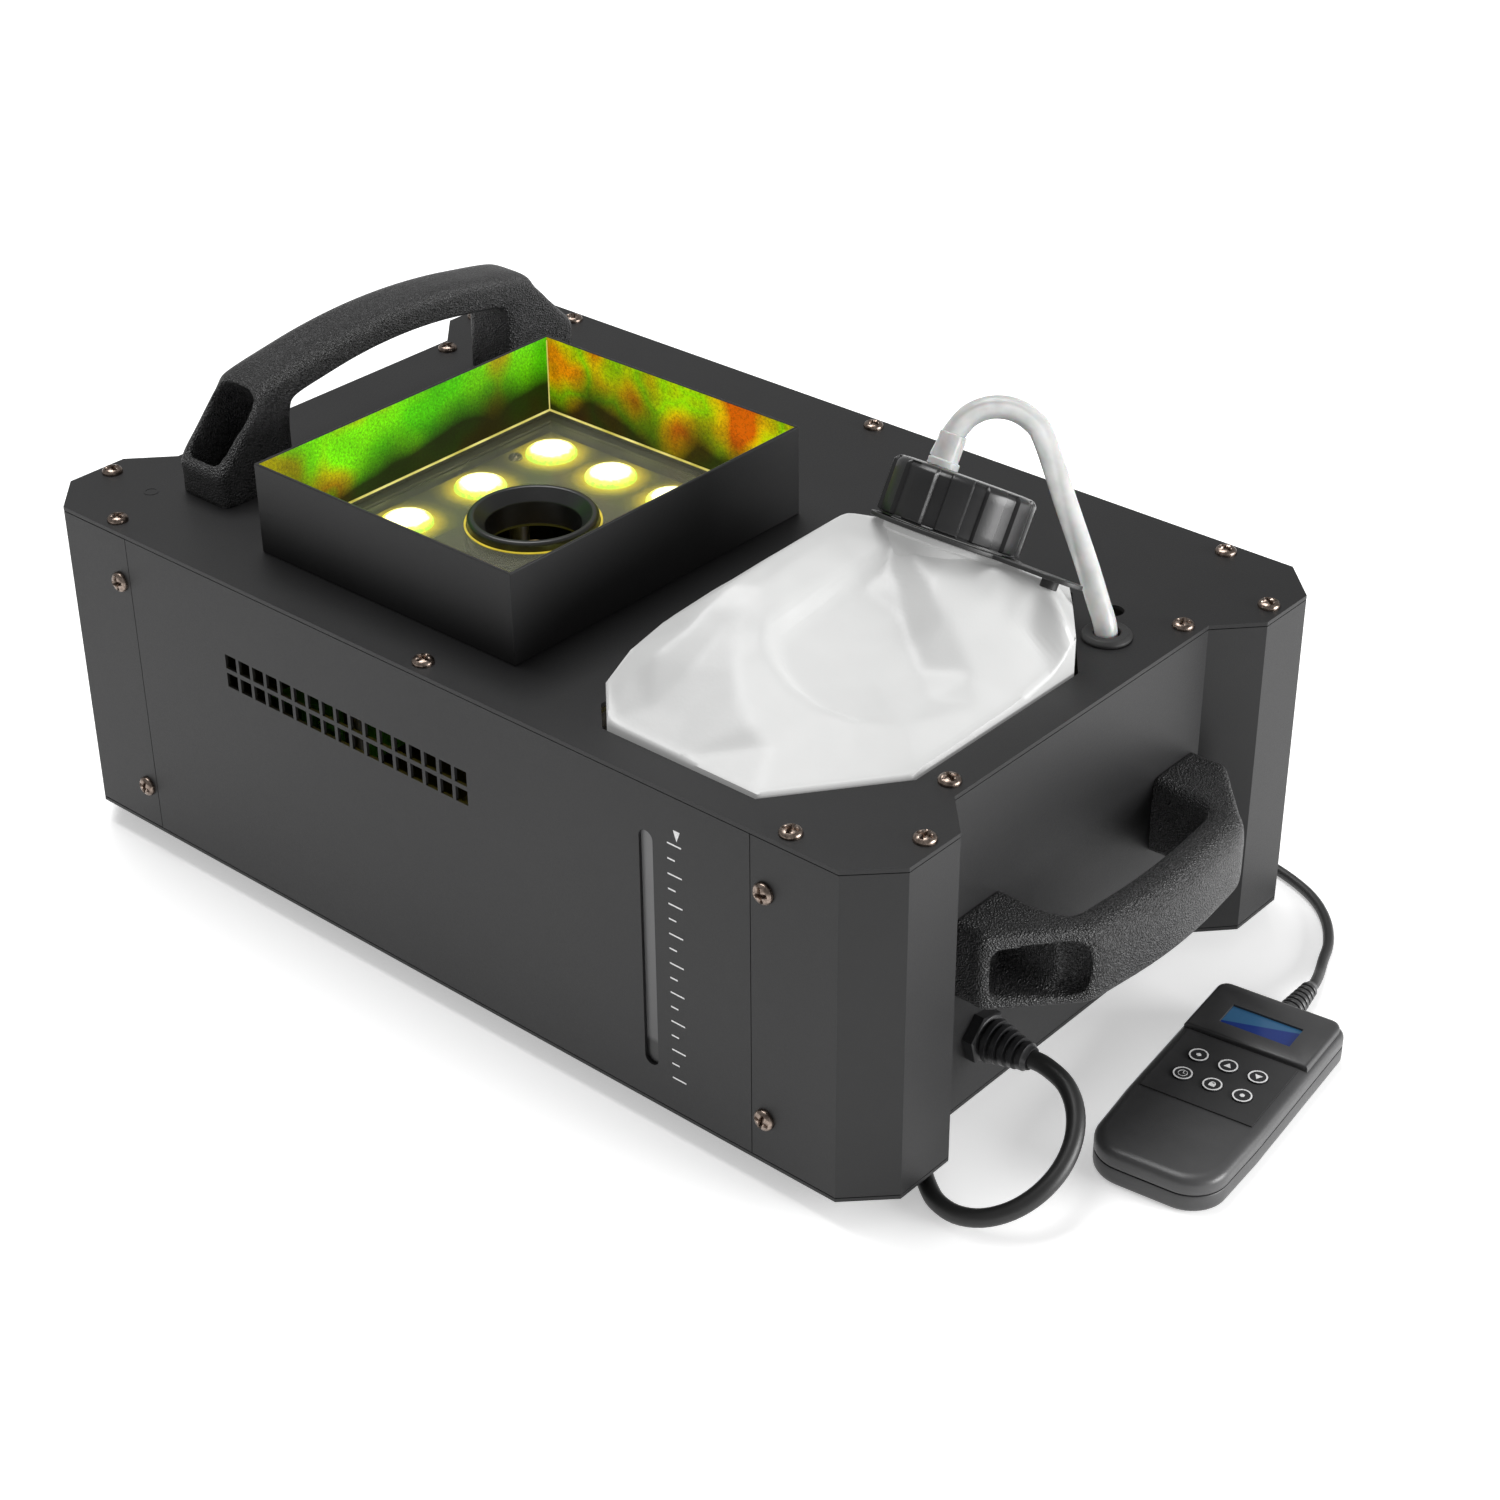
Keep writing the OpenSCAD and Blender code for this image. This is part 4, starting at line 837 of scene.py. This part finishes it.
def grip(name, at, along, shoulder, gap, lip, low, rise, under, under_rise, w, rim, flare, mouth, node):
    """A carrying handle: one loft from foot to foot, with an open pocket in each foot.

    at places a point from (along, across, out). The outer line runs from along at lip to shoulder at
    low and bows up by rise; the inner one from gap to under and bows by under_rise. w is the width,
    flare its growth at the feet, rim the wall left round a pocket and mouth the pocket's own flare.
    """
    half = [((-along, -0.5), (-gap, -0.5)), ((-along, lip * 0.5), (-gap, under * 0.3)),
            ((-along, lip), (-gap, under * 0.58)),
            ((-along + (along - shoulder) * 0.4, lip + (low - lip) * 0.40), (-gap, under - 7.5)),
            ((-along + (along - shoulder) * 0.78, lip + (low - lip) * 0.78), (-gap + 0.9, under - 3)),
            ((-shoulder, low + 0.3), (-gap + 4.5, under - 0.4))]
    mid = []
    for k in range(1, 8):
        t = -1 + k / 4
        u = t * (shoulder - 8)
        outer = (u, low + rise * (1 - (u / shoulder) ** 2))
        mid.append((outer, (t * (gap - 9), under + under_rise * (1 - t * t))))
    pairs = half + mid + [((-o[0], o[1]), (-i[0], i[1])) for o, i in reversed(half)]
    pairs = [Vector((o[0], o[1], i[0], i[1])) for o, i in pairs]
    n = len(pairs) - 1
    rings = []
    for k in range(n * 5 + 1):
        q = curve(pairs, k / 5)
        depth = ease(min(1.0, max(0.0, (min(k / 5, n - k / 5) - 3.2) / 2.2)))
        e = 2 / (9 - 5.7 * depth)
        c, h = Vector((q[0] + q[2], q[1] + q[3])) / 2, Vector((q[0] - q[2], q[1] - q[3])) / 2
        foot = max(0.0, 1 - min(k / 5, n - k / 5) / 3)
        wide = w / 2 * (1 + flare * foot * foot)
        ring = []
        for s in range(48):
            t = 2 * math.pi * (s + 0.5) / 48
            a = bowed(math.cos(t), e)
            ring.append(at(c[0] + h[0] * a, wide * bowed(math.sin(t), e), c[1] + h[1] * a))
        rings.append(ring)
    o = loft(rings, name, "handle")
    for s in (-1, 1):
        knee = (gap + 6.5, low - 8.5) if shoulder > gap else (shoulder + 2, under + 4.5)
        steps = [((gap + 4, 3), (along - 3.2, 3)),
                 ((gap + 4, min(low - 13, under + 2.5)), (along - 3, lip * 0.5)),
                 (knee, (along - 2.7, lip - 2.5)), ((shoulder - 0.5, low - 4), (along - 2.4, lip - 0.4)),
                 ((shoulder + 3, low - 2), (along - 1.6, lip + 1.6)),
                 ((shoulder + 16, low + 16), (along + 20, lip + 12))]
        rings = []
        for (au, az), (bu, bz) in steps:
            ring = []
            for k in range(64):
                t = 2 * math.pi * (k + 0.5) / 64
                e = 2 / (3.4 if math.cos(t) > 0 else 9)
                q = bowed(math.cos(t), e)
                v = bowed(math.sin(t), e) * (w / 2 - rim) * (1 + mouth * q)
                ring.append(at(s * ((au + bu) / 2 + (au - bu) / 2 * q), v, (az + bz) / 2 + (az - bz) / 2 * q))
            rings.append(ring if s > 0 else ring[::-1])
        cut(o, loft(rings, "cutter", "dark", None))
    m = o.modifiers.new("skin", "REMESH")
    m.mode, m.voxel_size, m.use_smooth_shade = "VOXEL", 0.85 * MM, True
    m = o.modifiers.new("soften", "SMOOTH")
    m.factor, m.iterations = 0.5, 9
    bake(o)
    o.data.shade_smooth()
    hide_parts(node)


grip("top_grip", lambda u, v, z: P(-149.5 + v, 3.5 + u, 138 + z), 92.5, 68, 57, 14, 41, 8.5, 31, 5.5, 25.5,
     3, 0.04, 0.13, "top_handle")
grip("end_grip", lambda u, v, z: P(186 + z, u, 74.3 + v), 69, 41, 43, 13, 38.5, 4.5, 24, 2, 29.5,
     4.4, 0.05, 0.11, "end_handle")
softened("handle_screws", "grip_screws", "zinc", 0.4, 2)

# ---------------------------------------------------------------- bottle
# points of the bottle's top, each (x, y, height): its outline, the creases across it, and points between
rim_pts = [(65.5, -100, 146), (75.6, -110.5, 139.6), (107, -110.5, 138.9), (139.5, -110.5, 138.7),
           (155, -90, 138.7), (169.5, -70.5, 138.8), (169.5, -40, 138.8), (169.5, -12, 139.3),
           (169.5, 3, 142), (169.5, 11, 147), (169.5, 15.5, 151), (153, 37, 148),
           (136.3, 58.5, 142), (106, 58.5, 142), (75.7, 58.5, 142), (65.5, 48.4, 146),
           (65.5, 18, 158), (65.5, -20, 158.3), (65.5, -50, 158), (65.5, -72, 156.5), (65.5, -88, 153)]
lines = {
    "crease": [(65.5, -100, 146), (72.5, -94.5, 151), (77.5, -88.5, 156.5), (80.5, -77.5, 162),
               (80.5, -67.5, 166.5), (81, -56.5, 170.3), (80, -30, 171.4), (79, 6, 171.6)],
    "fold": [(139.5, -110.5, 138.7), (131, -94, 144.5), (121.5, -92, 148.3), (112, -87, 152),
             (103, -78.5, 157), (95.5, -69.5, 161.5), (91.5, -60.5, 166.8), (90, -50, 170)],
    "lip": [(103.5, 0, 170), (101, -15, 168), (100.5, -31.5, 167), (99.5, -48, 166), (99.5, -59, 164.2),
            (103, -64.5, 161), (110, -68.5, 157), (119.5, -71.5, 153.4), (131, -71.5, 149.9),
            (144, -67, 147.2), (155, -56, 144.6)],
    "floor": [(107, -6, 165.4), (105, -18, 162), (104.2, -34, 160), (103.4, -48, 159), (104.2, -57, 157.6),
              (107.5, -61.5, 155.2), (113, -65, 152.4), (121, -67.8, 149.8), (131, -68.6, 147.8),
              (144, -64, 145.6)],
    "edge": [(103.5, 0, 170), (117, -4.5, 169.4), (129, -9.5, 165.6), (138.5, -13.5, 160.2),
             (147, -17, 153.8), (154.5, -21, 148.2), (162.5, -29, 142.6), (155, -56, 144.6)],
    "basin": [(116.5, -11.5, 162), (123.5, -18.5, 156.4), (131.5, -24.5, 151.4), (140, -30, 147.4),
              (150, -39, 144)],
    "valley": [(124, 1.5, 170.6), (131, 1, 167.6), (142.5, 0.5, 162.2), (151.5, 3, 156.3), (158, 7, 150.8),
               (169.5, 11, 147)],
    "bulge": [(130, 7.5, 170), (141, 12, 168.6), (152, 16.5, 166.4), (160, 16, 163), (166.5, 13, 157.5)],
}
lone = [(119, -42, 153.2), (135, -47, 147.8), (113, 1.5, 173), (98, 8, 171), (91, 14, 169.4), (89, 20, 166.4),
        (96, 33, 160), (112, 40, 152), (130, 36, 158), (136, 22, 163.5), (80, 35, 156), (112, 18, 167),
        (88, -8, 171.8), (89, -30, 171.6), (152, -78, 141.8), (140, -92, 142.2), (165, -52, 140.8),
        (98, -98, 145.6), (86, -100, 144.8), (150, 33, 157), (100, -88, 151.4), (90, -85, 153.8),
        (90, -72, 160.6)]
pts, edges, seen = [], [], {}


def point(p):
    if p not in seen:
        seen[p] = len(pts)
        pts.append(p)
    return seen[p]


ring_ids = [point(p) for p in rim_pts]
edges += [(ring_ids[k], ring_ids[(k + 1) % len(ring_ids)]) for k in range(len(ring_ids))]
for row in lines.values():
    ids = [point(p) for p in row]
    edges += [(a, b) for a, b in zip(ids, ids[1:]) if (a, b) not in edges]
for p in lone:
    point(p)
verts2, _, faces2, from_v, _, _ = delaunay_2d_cdt([Vector(p[:2]) for p in pts], edges, [], 1, 1e-4)
bm = bmesh.new()
heights = []
for k, v in enumerate(verts2):
    src = from_v[k][0] if from_v[k] else min(range(len(pts)), key=lambda i: (Vector(pts[i][:2]) - v).length)
    heights.append(pts[src][2])
    bm.verts.new((v.x, v.y, heights[-1]))
bm.verts.ensure_lookup_table()
for f in faces2:
    bm.faces.new([bm.verts[k] for k in f])
for _ in range(4):
    bmesh.ops.subdivide_edges(bm, edges=bm.edges, cuts=1, use_grid_fill=True)
    bmesh.ops.triangulate(bm, faces=bm.faces)
# heights are softened on an even 1.5 mm grid, so that every crease gets the same moulded radius
tree = BVHTree.FromBMesh(bm)
STEP, NX, NY, LEFT, NEAR = 1.5, 78, 120, 60, -116


def blurred(row):
    """Each height of a row mixed with its two neighbours."""
    last = len(row) - 1
    return [(row[max(k - 1, 0)] + 2 * row[k] + row[min(k + 1, last)]) / 4 for k in range(len(row))]


grid = []
for j in range(NY):
    row = []
    for i in range(NX):
        x, y = LEFT + i * STEP, NEAR + j * STEP
        hit = tree.ray_cast(Vector((x, y, 300)), Vector((0, 0, -1)))[0]
        if hit is None:
            hit = tree.find_nearest(Vector((x, y, 146)))[0]
        row.append(hit.z)
    grid.append(row)
for _ in range(2):
    grid = [blurred(row) for row in grid]
    grid = list(zip(*(blurred(column) for column in zip(*grid))))
for v in bm.verts:
    if not v.is_boundary:
        x, y = (v.co.x - LEFT) / STEP, (v.co.y - NEAR) / STEP
        i, j = int(x), int(y)
        x, y = x - i, y - j
        v.co.z = ((grid[j][i] * (1 - x) + grid[j][i + 1] * x) * (1 - y)
                  + (grid[j + 1][i] * (1 - x) + grid[j + 1][i + 1] * x) * y)
# the moulded corner all round, then the walls down into the machine, and the base
edge_loop = [e for e in bm.edges if e.is_boundary]
middle = Vector((117, -26))
for dz, out in ((-0.9, 0.9), (-1.2, 0.35), (None, 0.0), (-2.2, -1.4), (-0.8, -2.4)):
    r = bmesh.ops.extrude_edge_only(bm, edges=edge_loop)["geom"]
    edge_loop = [g for g in r if isinstance(g, bmesh.types.BMEdge)]
    for v in {v for e in edge_loop for v in e.verts}:
        if dz is None:
            v.co.z = 36.5
        else:
            v.co.z += dz
        if out < 0:
            d = (v.co.xy - middle).normalized() * out
            v.co.x, v.co.y = v.co.x + d.x, v.co.y + d.y
bmesh.ops.contextual_create(bm, geom=edge_loop)
bm.normal_update()
for v in bm.verts:
    v.co = P(*v.co)
o = from_bm(bm, "bottle_shell", "bottle", "bottle", 60)
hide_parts("fluid_bottle")

NECK = P(112, 18, 165.4)
lean = Vector((0, math.sin(math.radians(31)), math.cos(math.radians(31))))
turned([(17.4, -13), (20, -13), (20, -1.6), (21.6, -0.8), (21.6, 1.0), (19.8, 1.3), (19.8, 3.0), (17.4, 3.0)],
       NECK, lean, "bottle_neck", "bottle", "bottle", 72)


def ribbed(r, h, t):
    if r < 23 or not 4 < h < 23:
        return r
    a = abs(((t + math.radians(15)) / math.radians(30)) % 1 - 0.5) * 2
    return r - 1.25 * max(0.0, min(1.0, (a - 0.56) / 0.10))


profile = [(21, 3.4), (24.3, 3.4), (24.3, 3.9), (25.3, 4.3), (25.5, 4.8)]
profile += [(25.5, 4.8 + 16.6 * k / 6) for k in range(1, 7)]
profile += [(25.3, 22.0), (24.7, 22.8), (23.8, 23.5), (22.9, 23.8), (19.4, 24), (18.6, 23.7), (18.3, 23.2),
            (18.2, 21.6), (21, 21.6)]
o = turned(profile, NECK, lean, "cap_shell", "cap", "cap", 360, 30, lobes=ribbed)
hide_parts("bottle_cap")


# ---------------------------------------------------------------- remote control
def R(x, y, z):
    """A point in millimetres from the remote's middle, along its own width and length."""
    c, s = math.cos(math.radians(REMOTE_TURN)), math.sin(math.radians(REMOTE_TURN))
    return P(REMOTE_X + x * c - y * s, REMOTE_Y + x * s + y * c, z)


def arc_pts(cx, cy, r, a, b, n):
    angles = [math.radians(a + (b - a) * k / n) for k in range(n + 1)]
    return [(cx + r * math.cos(t), cy + r * math.sin(t)) for t in angles]


def outline(i):
    w, l = 24.5 - i, 52.5 - i
    r, q = max(4.6 - i, 1.2), 13.5 - i * 0.6
    return (arc_pts(w - r, l - r, r, 0, 90, 8) + arc_pts(-w + r, l - r, r, 90, 180, 8)
            + [(-w, -l + 34), (-w + 0.5, -l + 22)] + arc_pts(-w + q + 0.8, -l + q, q, 180, 270, 12)
            + arc_pts(w - q - 0.8, -l + q, q, 270, 360, 12) + [(w - 0.5, -l + 22), (w, -l + 34)])


def tray(name, steps, shape=outline):
    """A moulding through outlines drawn in by each step's inset, at its height."""
    return loft([[R(x, y, z) for x, y in shape(i)] for i, z in steps], name, "remote", smooth=50)


o = tray("remote_base", [(2.6, 0), (1.4, 0.25), (0.6, 0.8), (0.15, 1.7), (0, 2.8), (0, 6.9), (0.15, 7.15),
                         (0.8, 7.25)])
boot = [(0.5, 50), (5.2, 50)]
for k in range(8):
    y, r = 53.5 + k * 2.75, 5.0 - k * 0.26
    boot += [(r - 1.1, y), (r - 1.1, y + 0.8), (r - 0.15, y + 0.95), (r, y + 1.3), (r, y + 2.1),
             (r - 0.2, y + 2.5)]
boot += [(2.6, 76.0), (2.3, 77.2), (0.5, 77.2)]
b = turned(boot, R(0, 0, 6), R(0, 1, 0) - R(0, 0, 0), "boot", "remote", n=48, smooth=40)
join([o, b], "remote_base_and_boot")
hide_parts("remote_lower_shell")
top = tray("remote_top", [(0.8, 7.6), (0.15, 7.7), (0, 8.0), (0, 10.9), (0.2, 11.9), (0.75, 12.8),
                          (1.6, 13.45), (2.6, 13.85), (3.6, 14)])


def block(i):
    w, l, y = 23.1 - i, 51.2 - i, 21.5 + 0.45 * i
    r = max(4.2 - i, 1.4)
    return [(-w, y), (w, y)] + arc_pts(w - r, l - r, r, 0, 90, 8) + arc_pts(-w + r, l - r, r, 90, 180, 8)


raised = tray("screen_block", [(0, 12.6), (0, 14.7), (0.25, 15.3), (0.8, 15.75), (1.7, 16)], block)
bm = bmesh.new()
box_in(bm, (-13.2, 28.3, 15.1), (13.2, 39.7, 18), R)
cut(raised, from_bm(bm, "cutter", "dark", None))
join([top, raised], "remote_top_and_screen_block")
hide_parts("remote_upper_shell")
boxes("lcd_glass", "lcd", [((-13.1, 28.4, 15.1), (13.1, 39.6, 15.25))], at=R)
# painted shade: a near-black strip standing in for the shade in the groove at the step
boxes("step_groove_shade", "dark", [((-22.4, 21.05, 13.9), (22.4, 21.5, 14.06))], at=R)

PRINT_LOW, PRINT_TOP = 14.98, 15.06
for name, x, y in (("menu", -11, 8.5), ("up", 0, 8.5), ("down", 11, 8.5),
                   ("timer", -11, -3.5), ("lock", 0, -3.5), ("fog", 11, -3.5)):
    bm = bmesh.new()
    for middle_r, wide in ((3.1, 0.55), (1.55, 0.22)) if name == "timer" else ((3.1, 0.55),):
        inner, outer = middle_r - wide / 2, middle_r + wide / 2
        rows = []
        for q, z in ((inner, PRINT_LOW), (outer, PRINT_LOW), (outer, PRINT_TOP), (inner, PRINT_TOP)):
            rows.append([bm.verts.new(R(a, b, z)) for a, b in arc_pts(x, y, q, 0, 351, 39)])
        skin(bm, rows + rows[:1])
    icon = {"menu": [arc_pts(0, 0, 0.85, 0, 345, 23)], "fog": [arc_pts(0, 0, 0.85, 0, 345, 23)],
            "up": [[(-1.35, -0.9), (1.35, -0.9), (0, 1.35)]],
            "down": [[(-1.35, 0.9), (0, -1.35), (1.35, 0.9)]],
            "timer": [[(-0.1, -0.1), (0.1, -0.1), (0.1, 1.1), (-0.1, 1.1)],
                      [(0.1, -0.1), (0.9, -0.1), (0.9, 0.1), (0.1, 0.1)]],
            "lock": [[(-1.1, -1.2), (1.1, -1.2), (1.1, 0.35), (-1.1, 0.35)],
                     arc_pts(0, 0.35, 1.0, 0, 180, 10) + arc_pts(0, 0.35, 0.62, 180, 0, 10)]}[name]
    for shape in icon:
        plate(bm, [(x + a, y + b) for a, b in shape], PRINT_LOW, PRINT_TOP - PRINT_LOW, R)
    from_bm(bm, "print_" + name, "ink", name + "_key")

# ---------------------------------------------------------------- light and floor
floor = bpy.data.meshes.new("floor")
bm = bmesh.new()
bmesh.ops.create_grid(bm, x_segments=1, y_segments=1, size=6)
bm.to_mesh(floor)
bm.free()
floor_obj = bpy.data.objects.new("floor", floor)
bpy.context.collection.objects.link(floor_obj)
m = Mat("pale_floor", (0.93, 0.93, 0.93), 0.7, spec=0.15)
m.b.inputs["Emission Color"].default_value = (1, 1, 1, 1)
m.b.inputs["Emission Strength"].default_value = 0.42
floor.materials.append(m.m)

world = bpy.data.worlds.new("studio")
bpy.context.scene.world = world
world.use_nodes = True
world.node_tree.nodes["Background"].inputs["Color"].default_value = (1, 1, 1, 1)
world.node_tree.nodes["Background"].inputs["Strength"].default_value = 0.34


def area(name, at, aim, size, power):
    l = bpy.data.lights.new(name, "AREA")
    l.shape = "RECTANGLE"
    l.size, l.size_y = size
    l.energy = power
    o = bpy.data.objects.new(name, l)
    bpy.context.collection.objects.link(o)
    o.location = at
    o.rotation_euler = (Vector(aim) - Vector(at)).to_track_quat("-Z", "Y").to_euler()


area("key", (1.8, 0.6, 0.42), (0.1, 0, 0.08), (1.2, 0.8), 43)
area("top", (-0.6, 0.1, 1.9), (0, 0, 0.1), (1.2, 1.2), 32)
